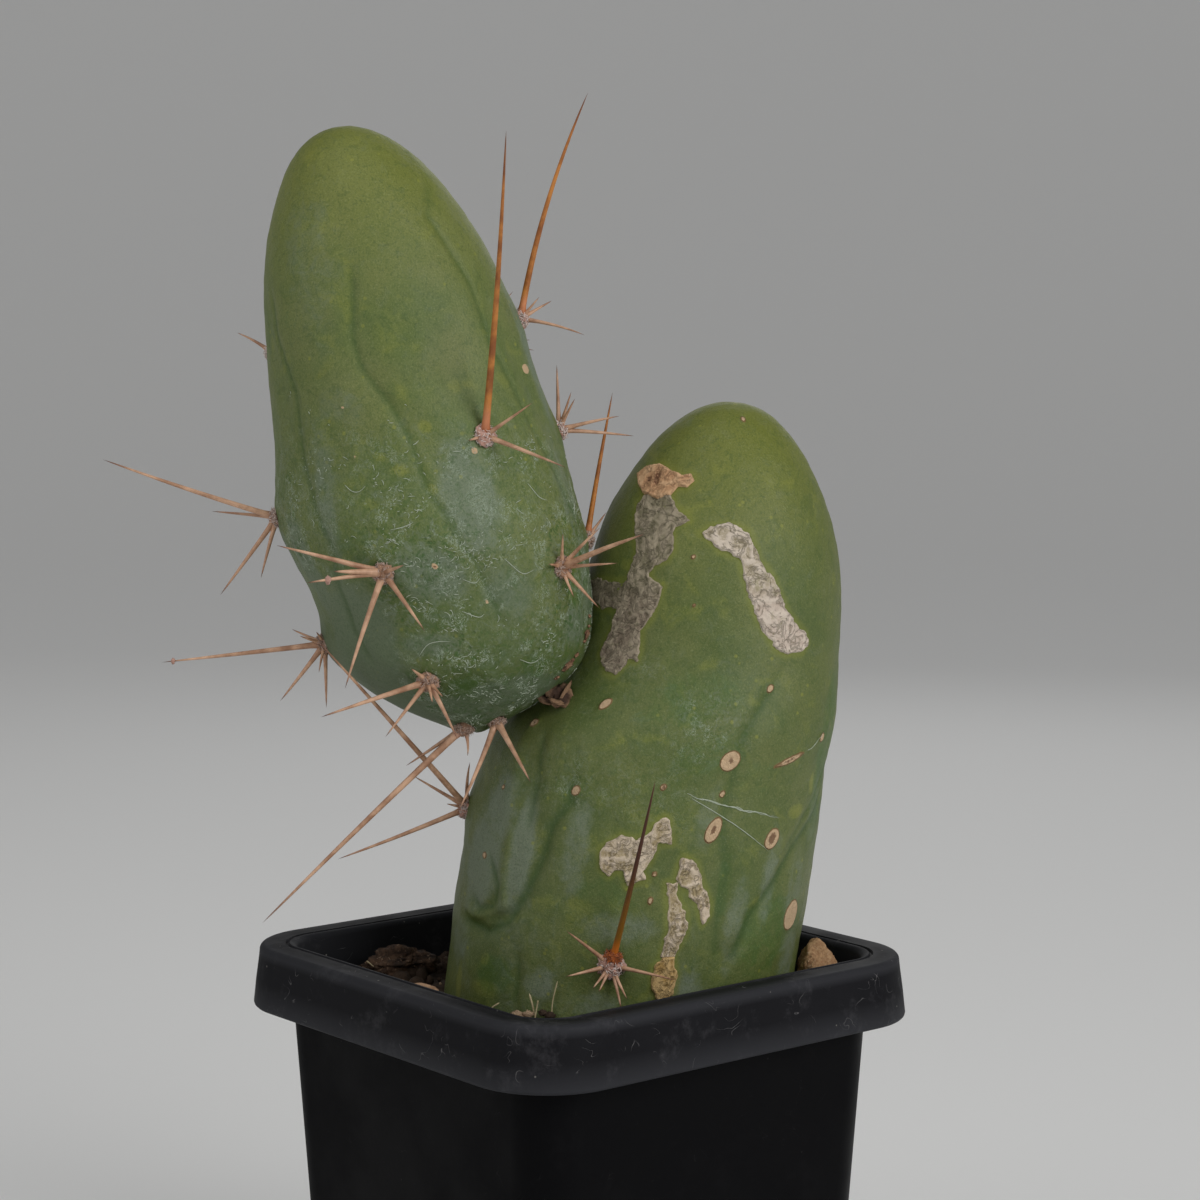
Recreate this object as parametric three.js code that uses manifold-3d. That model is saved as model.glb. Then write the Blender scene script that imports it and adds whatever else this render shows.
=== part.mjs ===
// Potted monstrose Bolivian torch cactus: two blunt stems in a square nursery pot, in millimetres, +Z up.
// The origin is the middle of the pot's flat base. The pot's sides run along X and Y. The plant is turned
// about Z inside it, so each plant shape is written as seen from the front of the plant: +X is to the
// right, -Y is towards the viewer, and a turn of 0 degrees round a stem faces the viewer, with +90 on
// the right.
import * as THREE from 'three';
import { mergeVertices } from 'three/addons/utils/BufferGeometryUtils.js';
import Module from 'manifold-3d';

const wasm = await Module();
wasm.setup();

// Pot
const POT_HEIGHT = 65;
const LIP_HALF_WIDTH = 35;
const LIP_CORNER_RADIUS = 10.5;
const LIP_DROP = 8.8;
const LIP_FLARE = 1;
const LIP_WALL = 1.2;
const BODY_HALF_WIDTH = 31;
const BODY_CORNER_RADIUS = 6.5;
const BODY_TAPER = 0.052;
const POT_WALL = 1;
const POT_FLOOR = 1.5;
const CORNER_STEPS = 6;
const DRAIN_RADIUS = 4;
const DRAIN_SPACING = 17;

// Soil and the plant's place in the pot
const PLANT_TURN = 50.6;
const GAP = 0.3;
const SOIL_LEVEL = 58.5;
const SOIL_ROUGHNESS = 0.8;
const SOIL_RINGS = 7;

// Stems: heights above the pot's base, with the centre and half width of the outline at each height
const MAIN_STEM = {
  bottom: 46,
  top: 141.6,
  bottomCap: 6,
  topCap: 25.6,
  bottomPower: 2,
  topPower: 2.2,
  depthRatio: 0.9,
  centreY: 0,
  heights: [46, 62, 78, 90, 98, 106, 116, 128, 141],
  centresX: [4.5, 6.2, 8.5, 10.5, 12.9, 16.9, 18.8, 19.8, 21.1],
  halfWidths: [23.5, 24.5, 24.7, 24.3, 23.4, 19.7, 18, 16.1, 13.5],
  grooves: [
    { heights: [71, 74, 80, 93], turns: [-58, -40, -35, -46], depth: 1.3, width: 2.4 },
    { heights: [70, 84, 97, 106], turns: [28, 26, 27, 33], depth: 0.7, width: 2.6 },
    { heights: [68, 77, 90, 104], turns: [34, 52, 84, 92], depth: 0.8, width: 2.6 },
    { heights: [60, 82, 112], turns: [128, 136, 142], depth: 0.9, width: 3 },
    { heights: [60, 86, 116], turns: [186, 178, 184], depth: 0.9, width: 3 },
    { heights: [60, 80, 100], turns: [-112, -120, -128], depth: 0.9, width: 3 },
  ],
};
const BRANCH_STEM = {
  bottom: 97.5,
  top: 178.8,
  bottomCap: 18,
  topCap: 31.6,
  bottomPower: 1.6,
  topPower: 2.1,
  depthRatio: 0.92,
  centreY: -9,
  heights: [98, 106, 114, 124, 136, 150, 166, 179],
  centresX: [-14.8, -15.9, -16.4, -19.2, -21.3, -24.2, -27.5, -30.4],
  halfWidths: [20.6, 21.2, 18.9, 20.5, 19.4, 17.6, 16.3, 15.6],
  grooves: [
    { heights: [110, 122, 139, 144, 162], turns: [22, 18, 5, -9, -12], depth: 0.8, width: 2.2 },
    { heights: [126, 140, 152, 167], turns: [88, 72, 58, 40], depth: 0.9, width: 2.2 },
    { heights: [110, 124, 135, 152], turns: [-46, -45, -51, -68], depth: 0.8, width: 2.4 },
    { heights: [112, 136, 164], turns: [142, 130, 112], depth: 1, width: 2.6 },
    { heights: [106, 136, 164], turns: [190, 184, 176], depth: 1, width: 2.6 },
    { heights: [106, 136, 164], turns: [-102, -112, -128], depth: 1, width: 2.6 },
  ],
};
const GROOVE_FADE = 8;
const STEM_SIDES = 42;
const STEM_RINGS = 28;

// The neck that ties the branch to the shoulder of the main stem, an ellipsoid
const NECK_CENTRE = [-6, -2, 102];
const NECK_RADII = [9, 8, 7];

// Areoles
const CUSHION_FLATNESS = 0.8;
const CUSHION_LIFT = 0.3;
const SPINE_SIDES = 4;
const SPINE_FULLNESS = 0.6;

// Each spine is [clock, lean, length, thickness, bend]. Clock is its direction as seen from the front, in
// degrees from straight up and clockwise. Lean is how far it points towards the viewer, in degrees. Bend
// is how much its direction turns clockwise from root to tip, in degrees.
const BRANCH_AREOLES = [
  { turn: 31, height: 138, radius: 1.4,
    spines: [[5, 20, 41, 1.2], [55, 25, 8.5, 0.6], [110, 25, 12.5, 0.75], [-105, 45, 3, 0.6]] },
  { turn: 91, height: 153, radius: 1.2,
    spines: [[17, 5, 31.5, 1.1, 14], [41, 10, 4, 0.5], [60, -10, 5, 0.6], [104, 5, 9, 0.6, 16]] },
  { turn: 95, height: 138, radius: 1.3,
    spines: [[-2, -10, 9, 0.7], [18, -5, 5.5, 0.6], [27, 15, 5, 0.6], [77, 0, 8.5, 0.7], [95, -10, 10.5, 0.7]] },
  { turn: 100, height: 123, radius: 1.2,
    spines: [[10, -5, 20.5, 1], [36, -10, 4.6, 0.6], [-20, -45, 6, 0.6]] },
  { turn: 54, height: 120.5, radius: 1.4,
    spines: [[3, 35, 5.8, 0.6], [43, 20, 8, 0.7], [65, 35, 14.5, 1], [84, 20, 8, 0.6], [136, 20, 7.7, 0.7],
      [156, 30, 4.8, 0.6], [-65, 65, 4.2, 0.6]] },
  { turn: -19, height: 120.5, radius: 1.4,
    spines: [[-74, 15, 14.5, 0.9], [-95, 30, 11, 0.8], [-85, 35, 7.5, 1.1], [-162, 15, 16, 0.9],
      [143, 18, 9.7, 0.8], [64, 60, 6.8, 0.7]] },
  { turn: -84, height: 126.5, radius: 1.2,
    spines: [[-71, 5, 24.5, 1], [-86, -15, 9.5, 0.6], [-144, 10, 13, 0.8], [-166, 15, 8.6, 0.7]] },
  { turn: -79, height: 109.5, radius: 1.3,
    spines: [[-96, 5, 22, 1], [-142, 10, 9.8, 0.8], [178, 12, 8.7, 0.7], [-172, 45, 5, 0.5],
      [-69, -20, 5.3, 0.6], [-66, 40, 4.4, 0.6], [-25, 50, 3.3, 0.6]] },
  { turn: -12, height: 106, radius: 1.4,
    spines: [[-107, 15, 15, 0.9], [-142, 15, 9.3, 0.7], [152, 15, 8.5, 0.8], [128, 50, 4.2, 0.6],
      [-45, 45, 4.1, 0.7], [164, 50, 4, 0.6]] },
  { turn: -3, height: 98.5, radius: 1.4,
    spines: [[-134, 5, 38, 1.2], [-125, -10, 10, 0.7], [173, 10, 4, 0.6, 30]] },
  { turn: 38, height: 99.5, radius: 1.1,
    spines: [[148, 32, 10.5, 0.9], [-157, 12, 13.5, 0.9]] },
  { turn: -104, height: 148.5, radius: 1.1,
    spines: [[-62, -25, 6.5, 0.6, -14], [-150, -75, 5, 0.6], [-20, -78, 4.5, 0.6]] },
];
const MAIN_AREOLES = [
  { turn: -86, height: 85, radius: 1.5,
    spines: [[-35, 36, 39.5, 1.1], [4, 22, 7.5, 0.7, 16], [-60, -5, 9, 0.7], [-111, 5, 19.5, 1],
      [-75, 20, 3.2, 0.6]] },
  { turn: -5, height: 67.5, radius: 1.7,
    spines: [[12, 20, 29, 1.1], [-47, 25, 9, 0.7], [-98, 25, 6.8, 0.7], [97, 25, 9.4, 0.7],
      [152, 30, 5.3, 0.6], [166, 25, 6, 0.7], [-136, 35, 4.4, 0.6], [-151, 35, 4.3, 0.6]] },
];

// Areoles on the far sides, whose spines follow one rule: a ring of radial spines round a central one
const BACK_OF_BRANCH = [[150, 150], [-168, 156], [-158, 130], [166, 134], [-160, 110], [168, 114]];
const BACK_OF_MAIN = [[150, 121], [178, 94], [-138, 74], [152, 70]];
const BACK_AREOLE_RADIUS = 1.3;
const BACK_RADIALS = [4, 6];
const BACK_RADIAL_LENGTH = [5, 10];
const BACK_CENTRAL_LENGTH = [9, 16];
const BACK_RADIAL_TILT = [52, 66];
const BACK_CENTRAL_TILT = 18;

// Loose pieces on the soil: centre, half sizes and turn about Z, as seen from the front of the plant
const BARK = { centre: [-25.5, 7, 61], halfSizes: [4.7, 3.4, 2.2], turn: 15, bumps: 0.24 };
const PEBBLE = { centre: [-21.5, -9, 60.3], halfSizes: [2.6, 2, 1.5], turn: 0, bumps: 0.08 };
const PUMICE = { centre: [33.7, -2.5, 62.4], halfSizes: [2.6, 3, 3.7], turn: 20, bumps: 0.2 };

function seededRandom(seed) {
  let state = seed;
  return () => {
    state = (state * 1664525 + 1013904223) % 4294967296;
    return state / 4294967296;
  };
}

function between(range, share) {
  return range[0] + (range[1] - range[0]) * share;
}

function smoothStep(share) {
  const t = Math.min(Math.max(share, 0), 1);
  return t * t * (3 - 2 * t);
}

// A smooth curve through values given at rising places, level with its end values outside them
function valueAt(places, values, place) {
  const last = places.length - 1;
  const at = Math.min(Math.max(place, places[0]), places[last]);
  let i = 0;
  while (i < last - 1 && at > places[i + 1]) {
    i += 1;
  }
  const slope = (k) => {
    const before = Math.max(k - 1, 0);
    const after = Math.min(k + 1, last);
    return (values[after] - values[before]) / (places[after] - places[before]);
  };
  const span = places[i + 1] - places[i];
  const t = (at - places[i]) / span;
  const startShare = 1 + t * t * (2 * t - 3);
  const startBend = (t - 2 * t * t + t * t * t) * span * slope(i);
  const endBend = (t * t * t - t * t) * span * slope(i + 1);
  return values[i] * startShare + values[i + 1] * (1 - startShare) + startBend + endBend;
}

// How much a stem narrows towards its rounded ends: 1 in the middle and 0 at each end
function capShare(distanceFromEnd, capLength, power) {
  const u = Math.min(Math.max(1 - distanceFromEnd / capLength, 0), 1);
  return (1 - u ** power) ** (1 / power);
}

function grooveDepth(groove, turn, height, radius) {
  const first = groove.heights[0];
  const last = groove.heights[groove.heights.length - 1];
  const fadeIn = smoothStep((height - first + GROOVE_FADE) / GROOVE_FADE);
  const fadeOut = smoothStep((last + GROOVE_FADE - height) / GROOVE_FADE);
  let away = turn - valueAt(groove.heights, groove.turns, height);
  away -= 360 * Math.round(away / 360);
  const distance = THREE.MathUtils.degToRad(away) * radius;
  return groove.depth * fadeIn * fadeOut * Math.exp(-((distance / groove.width) ** 2));
}

// A point of a stem's skin. A growth above 0 gives the same shape that much larger all round.
function stemPoint(stem, turn, height, growth = 0) {
  const bottom = stem.bottom - growth;
  const top = stem.top + growth;
  const ends = capShare(height - bottom, stem.bottomCap, stem.bottomPower)
    * capShare(top - height, stem.topCap, stem.topPower);
  const halfWidth = (valueAt(stem.heights, stem.halfWidths, height) + growth) * ends;
  let groovesDepth = 0;
  for (const groove of stem.grooves) {
    groovesDepth += grooveDepth(groove, turn, height, halfWidth);
  }
  const share = 1 - (groovesDepth * ends) / Math.max(halfWidth, 1);
  const radians = THREE.MathUtils.degToRad(turn);
  return new THREE.Vector3(
    valueAt(stem.heights, stem.centresX, height) + halfWidth * share * Math.sin(radians),
    stem.centreY - halfWidth * stem.depthRatio * share * Math.cos(radians),
    height,
  );
}

function stemNormal(stem, turn, height) {
  const across = stemPoint(stem, turn + 2, height).sub(stemPoint(stem, turn - 2, height));
  const up = stemPoint(stem, turn, height + 0.4).sub(stemPoint(stem, turn, height - 0.4));
  return across.cross(up).normalize();
}

// A sphere's vertices laid on the stem's skin
function stemGeometry(stem, growth = 0) {
  const geometry = new THREE.SphereGeometry(1, STEM_SIDES, STEM_RINGS);
  const position = geometry.attributes.position;
  const bottom = stem.bottom - growth;
  const top = stem.top + growth;
  for (let i = 0; i < position.count; i += 1) {
    const height = bottom + ((top - bottom) * (1 + position.getY(i))) / 2;
    const turn = THREE.MathUtils.radToDeg(Math.atan2(position.getX(i), position.getZ(i)));
    const point = stemPoint(stem, turn, height, growth);
    position.setXYZ(i, point.x, point.y, point.z);
  }
  return geometry;
}

function neckGeometry(growth = 0) {
  const radii = NECK_RADII.map((radius) => radius + growth);
  return new THREE.SphereGeometry(1, 20, 14).scale(...radii).translate(...NECK_CENTRE);
}

function solidFrom(geometry) {
  const bare = geometry.clone();
  bare.deleteAttribute('normal');
  bare.deleteAttribute('uv');
  const welded = mergeVertices(bare, 1e-3);
  return new wasm.Manifold(new wasm.Mesh({
    numProp: 3,
    vertProperties: new Float32Array(welded.attributes.position.array),
    triVerts: new Uint32Array(welded.index.array),
  }));
}

function geometryFrom(solid) {
  const mesh = solid.getMesh();
  const geometry = new THREE.BufferGeometry();
  geometry.setAttribute('position', new THREE.BufferAttribute(mesh.vertProperties, 3));
  geometry.setIndex(new THREE.BufferAttribute(mesh.triVerts, 1));
  geometry.computeVertexNormals();
  return geometry;
}

// One closed ring of a square with round corners, counter-clockwise from above
function squareRing(halfWidth, cornerRadius, height) {
  const points = [];
  for (let corner = 0; corner < 4; corner += 1) {
    const start = (corner * Math.PI) / 2;
    const signX = corner === 0 || corner === 3 ? 1 : -1;
    const signY = corner < 2 ? 1 : -1;
    for (let step = 0; step <= CORNER_STEPS; step += 1) {
      const angle = start + (step / CORNER_STEPS) * (Math.PI / 2);
      points.push(new THREE.Vector3(
        signX * (halfWidth - cornerRadius) + cornerRadius * Math.cos(angle),
        signY * (halfWidth - cornerRadius) + cornerRadius * Math.sin(angle),
        height,
      ));
    }
  }
  return points;
}

// A closed body through a list of rings, with a point closing each end
function ringsGeometry(rings, startPoint, endPoint) {
  const sides = rings[0].length;
  const points = [startPoint, ...rings.flat(), endPoint];
  const faces = [];
  for (let side = 0; side < sides; side += 1) {
    const next = (side + 1) % sides;
    faces.push(0, 1 + next, 1 + side);
    for (let ring = 0; ring < rings.length - 1; ring += 1) {
      const low = 1 + ring * sides;
      const high = low + sides;
      faces.push(low + side, low + next, high + next, low + side, high + next, high + side);
    }
    const lastRing = 1 + (rings.length - 1) * sides;
    faces.push(lastRing + side, lastRing + next, points.length - 1);
  }
  const geometry = new THREE.BufferGeometry().setFromPoints(points);
  geometry.setIndex(faces);
  return geometry;
}

function bodyHalfWidth(height) {
  return BODY_HALF_WIDTH - BODY_TAPER * (POT_HEIGHT - height);
}

// The pot's wall section, followed from the base up the outside, over the lip and down the inside
function potShell() {
  const lipTop = POT_HEIGHT;
  const lipUnder = lipTop - LIP_WALL;
  const lipBottom = lipTop - LIP_DROP;
  const body = BODY_CORNER_RADIUS;
  const lip = LIP_CORNER_RADIUS;
  const inside = BODY_CORNER_RADIUS - POT_WALL;
  const rings = [
    squareRing(bodyHalfWidth(0) - 1, body - 1, 0),
    squareRing(bodyHalfWidth(1), body, 1),
    squareRing(bodyHalfWidth(lipUnder), body, lipUnder),
    squareRing(LIP_HALF_WIDTH - LIP_WALL, lip - LIP_WALL, lipUnder),
    squareRing(LIP_HALF_WIDTH + LIP_FLARE - LIP_WALL, lip + LIP_FLARE - LIP_WALL, lipBottom + 0.4),
    squareRing(LIP_HALF_WIDTH + LIP_FLARE - LIP_WALL / 2, lip + LIP_FLARE - LIP_WALL / 2, lipBottom),
    squareRing(LIP_HALF_WIDTH + LIP_FLARE, lip + LIP_FLARE, lipBottom + 0.4),
    squareRing(LIP_HALF_WIDTH + 0.1, lip + 0.1, lipTop - 0.8),
    squareRing(LIP_HALF_WIDTH - 0.7, lip - 0.7, lipTop),
    squareRing(BODY_HALF_WIDTH - POT_WALL + 0.8, inside + 0.8, lipTop),
    squareRing(BODY_HALF_WIDTH - POT_WALL, inside, lipTop - 0.8),
    squareRing(bodyHalfWidth(POT_FLOOR) - POT_WALL, inside, POT_FLOOR),
  ];
  const base = new THREE.Vector3(0, 0, 0);
  const floor = new THREE.Vector3(0, 0, POT_FLOOR);
  return ringsGeometry(rings, base, floor);
}

function potGeometry() {
  let pot = solidFrom(potShell());
  for (const x of [-DRAIN_SPACING, DRAIN_SPACING]) {
    for (const y of [-DRAIN_SPACING, DRAIN_SPACING]) {
      const drain = new THREE.CylinderGeometry(DRAIN_RADIUS, DRAIN_RADIUS, 4 * POT_FLOOR, 16);
      pot = pot.subtract(solidFrom(drain.rotateX(Math.PI / 2).translate(x, y, 0)));
    }
  }
  return geometryFrom(pot);
}

// The soil fills the pot, rough on top, with a plain hole where the main stem stands
function soilGeometry() {
  const rings = [];
  const floor = POT_FLOOR + GAP;
  const sideGap = POT_WALL + GAP;
  const corner = BODY_CORNER_RADIUS - sideGap;
  rings.push(squareRing(bodyHalfWidth(floor) - sideGap, corner, floor));
  for (let ring = 0; ring < SOIL_RINGS; ring += 1) {
    const share = 1 - ring / SOIL_RINGS;
    const points = squareRing((bodyHalfWidth(SOIL_LEVEL) - sideGap) * share, corner * share, SOIL_LEVEL);
    for (const point of points) {
      const waves = Math.sin(point.x * 0.9 + 1) * Math.cos(point.y * 0.8) + Math.sin(point.x * 0.37 - point.y * 0.5);
      point.z += SOIL_ROUGHNESS * 0.5 * waves;
    }
    rings.push(points);
  }
  const geometry = ringsGeometry(rings, new THREE.Vector3(0, 0, floor), new THREE.Vector3(0, 0, SOIL_LEVEL));
  const hole = stemGeometry(MAIN_STEM, GAP).rotateZ(THREE.MathUtils.degToRad(PLANT_TURN));
  return geometryFrom(solidFrom(geometry).subtract(solidFrom(hole)));
}

// One straight or bent spine from its areole to a point, thick for most of its length
function spineGeometry(root, direction, sideways, length, thickness, bend) {
  const segments = length > 12 ? 3 : 2;
  const geometry = new THREE.ConeGeometry(thickness / 2, length, SPINE_SIDES, segments);
  const position = geometry.attributes.position;
  const across = direction.clone().cross(sideways).normalize();
  const side = across.clone().cross(direction);
  const turnShare = THREE.MathUtils.degToRad(bend);
  for (let i = 0; i < position.count; i += 1) {
    const share = position.getY(i) / length + 0.5;
    const swell = share < 0.999 ? (1 - share) ** (SPINE_FULLNESS - 1) : 1;
    const sag = (turnShare * length * (share * share - share)) / 2;
    const point = root.clone()
      .addScaledVector(direction, length * share)
      .addScaledVector(side, -position.getX(i) * swell + sag)
      .addScaledVector(across, position.getZ(i) * swell);
    position.setXYZ(i, point.x, point.y, point.z);
  }
  return geometry;
}

function spineSeenFromFront(root, [clock, lean, length, thickness, bend = 0]) {
  const up = THREE.MathUtils.degToRad(clock);
  const forward = THREE.MathUtils.degToRad(lean);
  const direction = new THREE.Vector3(
    Math.sin(up) * Math.cos(forward),
    -Math.sin(forward),
    Math.cos(up) * Math.cos(forward),
  );
  const sideways = new THREE.Vector3(Math.cos(up), 0, -Math.sin(up));
  return spineGeometry(root, direction, sideways, length, thickness, bend);
}

function areoleCentre(stem, turn, height) {
  return stemPoint(stem, turn, height).addScaledVector(stemNormal(stem, turn, height), CUSHION_LIFT);
}

function cushionGeometry(stem, areole) {
  const normal = stemNormal(stem, areole.turn, areole.height);
  const centre = areoleCentre(stem, areole.turn, areole.height);
  const lie = new THREE.Quaternion().setFromUnitVectors(new THREE.Vector3(0, 1, 0), normal);
  return new THREE.SphereGeometry(areole.radius, 7, 4)
    .scale(1, CUSHION_FLATNESS, 1)
    .applyQuaternion(lie)
    .translate(centre.x, centre.y, centre.z);
}

function pitGeometry(stem, areole) {
  const centre = areoleCentre(stem, areole.turn, areole.height);
  return new THREE.SphereGeometry(areole.radius + GAP, 8, 5).translate(centre.x, centre.y, centre.z);
}

function frontSpines(stem, areole) {
  const root = areoleCentre(stem, areole.turn, areole.height);
  return areole.spines.map((spine) => spineSeenFromFront(root, spine));
}

function backSpines(stem, areole, random) {
  const normal = stemNormal(stem, areole.turn, areole.height);
  const root = areoleCentre(stem, areole.turn, areole.height);
  const sideways = normal.clone().cross(new THREE.Vector3(0, 0, 1)).normalize();
  const upward = sideways.clone().cross(normal);
  const tilted = (clock, tilt, length, thickness) => {
    const direction = normal.clone().multiplyScalar(Math.cos(tilt))
      .addScaledVector(sideways, Math.sin(tilt) * Math.sin(clock))
      .addScaledVector(upward, Math.sin(tilt) * Math.cos(clock));
    const side = direction.clone().cross(new THREE.Vector3(0.3, 0.2, 1)).normalize();
    return spineGeometry(root, direction, side, length, thickness, 0);
  };
  const count = Math.round(between(BACK_RADIALS, random()));
  const radials = Array.from({ length: count }, (_, k) => {
    const clock = ((k + 0.6 * random()) / count) * 2 * Math.PI;
    const tilt = THREE.MathUtils.degToRad(between(BACK_RADIAL_TILT, random()));
    return tilted(clock, tilt, between(BACK_RADIAL_LENGTH, random()), 0.7);
  });
  const centralTilt = THREE.MathUtils.degToRad(BACK_CENTRAL_TILT);
  const centralLength = between(BACK_CENTRAL_LENGTH, random());
  return [...radials, tilted(random() * 2 * Math.PI, centralTilt, centralLength, 1)];
}

function clusterGeometry(stem, areole, spines) {
  const pieces = [cushionGeometry(stem, areole), ...spines].map(solidFrom);
  return geometryFrom(pieces.reduce((joined, piece) => joined.add(piece)));
}

function stemWithPits(stem, areoles, start) {
  let solid = start;
  for (const areole of areoles) {
    solid = solid.subtract(solidFrom(pitGeometry(stem, areole)));
  }
  return solid;
}

// A rough lump: a ball whose skin is pushed in and out by a few waves
function lumpGeometry({ centre, halfSizes, turn, bumps }) {
  const geometry = new THREE.SphereGeometry(1, 12, 8);
  const position = geometry.attributes.position;
  for (let i = 0; i < position.count; i += 1) {
    const point = new THREE.Vector3().fromBufferAttribute(position, i);
    const wave = Math.sin(3 * point.x + 2 * point.z) * Math.cos(4 * point.y + point.x);
    point.multiplyScalar(1 + bumps * wave);
    position.setXYZ(i, point.x, point.y, point.z);
  }
  return geometry.scale(...halfSizes).rotateZ(THREE.MathUtils.degToRad(turn)).translate(...centre);
}

function finish(color, roughness) {
  return new THREE.MeshStandardMaterial({ color, roughness, metalness: 0 });
}

function piece(name, geometry, material) {
  const mesh = new THREE.Mesh(geometry, material);
  mesh.name = name;
  return mesh;
}

function pot() {
  return piece('pot', potGeometry(), finish(0x17181a, 0.55));
}

function soil() {
  return piece('soil', soilGeometry(), finish(0x3c2f25, 0.95));
}

function backAreoles(places) {
  return places.map(([turn, height]) => ({ turn, height, radius: BACK_AREOLE_RADIUS }));
}

function mainStem(areoles) {
  const seat = solidFrom(stemGeometry(BRANCH_STEM, GAP)).add(solidFrom(neckGeometry(GAP)));
  const whole = solidFrom(stemGeometry(MAIN_STEM)).subtract(seat);
  return piece('stem_main', geometryFrom(stemWithPits(MAIN_STEM, areoles, whole)), finish(0x5c7840, 0.6));
}

function branchStem(areoles) {
  const whole = solidFrom(stemGeometry(BRANCH_STEM)).add(solidFrom(neckGeometry()));
  return piece('stem_branch', geometryFrom(stemWithPits(BRANCH_STEM, areoles, whole)), finish(0x5a7550, 0.65));
}

function spineClusters(stem, label, front, back) {
  const random = seededRandom(label.length);
  const material = finish(0xb98a62, 0.5);
  const clusters = [];
  for (const areole of [...front, ...back]) {
    const spines = areole.spines ? frontSpines(stem, areole) : backSpines(stem, areole, random);
    const number = String(clusters.length + 1).padStart(2, '0');
    clusters.push(piece(`spines_${label}_${number}`, clusterGeometry(stem, areole, spines), material));
  }
  return clusters;
}

function looseStones() {
  return [
    piece('soil_bark', lumpGeometry(BARK), finish(0x4a3629, 0.9)),
    piece('soil_pebble', lumpGeometry(PEBBLE), finish(0xa89683, 0.8)),
    piece('soil_pumice', lumpGeometry(PUMICE), finish(0xc2a27c, 0.9)),
  ];
}

function plant() {
  const group = new THREE.Group();
  const mainBack = backAreoles(BACK_OF_MAIN);
  const branchBack = backAreoles(BACK_OF_BRANCH);
  group.add(mainStem([...MAIN_AREOLES, ...mainBack]));
  group.add(branchStem([...BRANCH_AREOLES, ...branchBack]));
  group.add(...spineClusters(MAIN_STEM, 'main', MAIN_AREOLES, mainBack));
  group.add(...spineClusters(BRANCH_STEM, 'branch', BRANCH_AREOLES, branchBack));
  group.add(...looseStones());
  group.rotation.z = THREE.MathUtils.degToRad(PLANT_TURN);
  return group;
}

const cactus = new THREE.Group();
cactus.add(pot(), soil(), plant());

export default cactus;
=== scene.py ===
# The looks of a potted monstrose Bolivian torch cactus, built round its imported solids.
# Plant shapes are written in millimetres as seen from the front of the plant: +X is to the right and -Y
# is towards the viewer. A turn of 0 degrees round a stem faces the viewer, with +90 on the right.
import math
from itertools import product

import bpy
import numpy as np
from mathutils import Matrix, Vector


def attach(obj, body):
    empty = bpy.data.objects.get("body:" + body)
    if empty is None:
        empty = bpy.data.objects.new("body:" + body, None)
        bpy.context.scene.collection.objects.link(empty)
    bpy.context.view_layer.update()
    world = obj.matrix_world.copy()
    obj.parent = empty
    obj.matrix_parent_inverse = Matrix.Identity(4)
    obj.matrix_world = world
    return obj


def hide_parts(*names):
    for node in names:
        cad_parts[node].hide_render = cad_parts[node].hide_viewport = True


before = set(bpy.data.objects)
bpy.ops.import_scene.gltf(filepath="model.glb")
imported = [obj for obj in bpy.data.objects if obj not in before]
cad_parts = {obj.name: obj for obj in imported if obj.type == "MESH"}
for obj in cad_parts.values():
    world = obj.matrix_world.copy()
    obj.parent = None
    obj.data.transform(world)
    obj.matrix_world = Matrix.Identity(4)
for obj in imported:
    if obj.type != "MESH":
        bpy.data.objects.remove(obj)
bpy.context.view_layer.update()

MM = 0.001
PLANT_TURN = math.radians(50.6)
SOIL_LEVEL = 58.5

# Stems, with the same driving sizes as the solids
MAIN_STEM = {
    "bottom": 46, "top": 141.6, "bottomCap": 6, "topCap": 25.6, "bottomPower": 2, "topPower": 2.2,
    "depthRatio": 0.9, "centreY": 0,
    "heights": [46, 62, 78, 90, 98, 106, 116, 128, 141],
    "centresX": [4.5, 6.2, 8.5, 10.5, 12.9, 16.9, 18.8, 19.8, 21.1],
    "halfWidths": [23.5, 24.5, 24.7, 24.3, 23.4, 19.7, 18, 16.1, 13.5],
    "grooves": [
        {"heights": [71, 74, 80, 93], "turns": [-58, -40, -35, -46], "depth": 1.3, "width": 2.4},
        {"heights": [70, 84, 97, 106], "turns": [28, 26, 27, 33], "depth": 0.7, "width": 2.6},
        {"heights": [68, 77, 90, 104], "turns": [34, 52, 84, 92], "depth": 0.8, "width": 2.6},
        {"heights": [60, 82, 112], "turns": [128, 136, 142], "depth": 0.9, "width": 3},
        {"heights": [60, 86, 116], "turns": [186, 178, 184], "depth": 0.9, "width": 3},
        {"heights": [60, 80, 100], "turns": [-112, -120, -128], "depth": 0.9, "width": 3},
    ],
}
BRANCH_STEM = {
    "bottom": 97.5, "top": 178.8, "bottomCap": 18, "topCap": 31.6, "bottomPower": 1.6, "topPower": 2.1,
    "depthRatio": 0.92, "centreY": -9,
    "heights": [98, 106, 114, 124, 136, 150, 166, 179],
    "centresX": [-14.8, -15.9, -16.4, -19.2, -21.3, -24.2, -27.5, -30.4],
    "halfWidths": [20.6, 21.2, 18.9, 20.5, 19.4, 17.6, 16.3, 15.6],
    "grooves": [
        {"heights": [110, 122, 139, 144, 162], "turns": [22, 18, 5, -9, -12], "depth": 0.8, "width": 2.2},
        {"heights": [126, 140, 152, 167], "turns": [88, 72, 58, 40], "depth": 0.9, "width": 2.2},
        {"heights": [110, 124, 135, 152], "turns": [-46, -45, -51, -68], "depth": 0.8, "width": 2.4},
        {"heights": [112, 136, 164], "turns": [142, 130, 112], "depth": 1, "width": 2.6},
        {"heights": [106, 136, 164], "turns": [190, 184, 176], "depth": 1, "width": 2.6},
        {"heights": [106, 136, 164], "turns": [-102, -112, -128], "depth": 1, "width": 2.6},
    ],
}
GROOVE_FADE = 8
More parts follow.
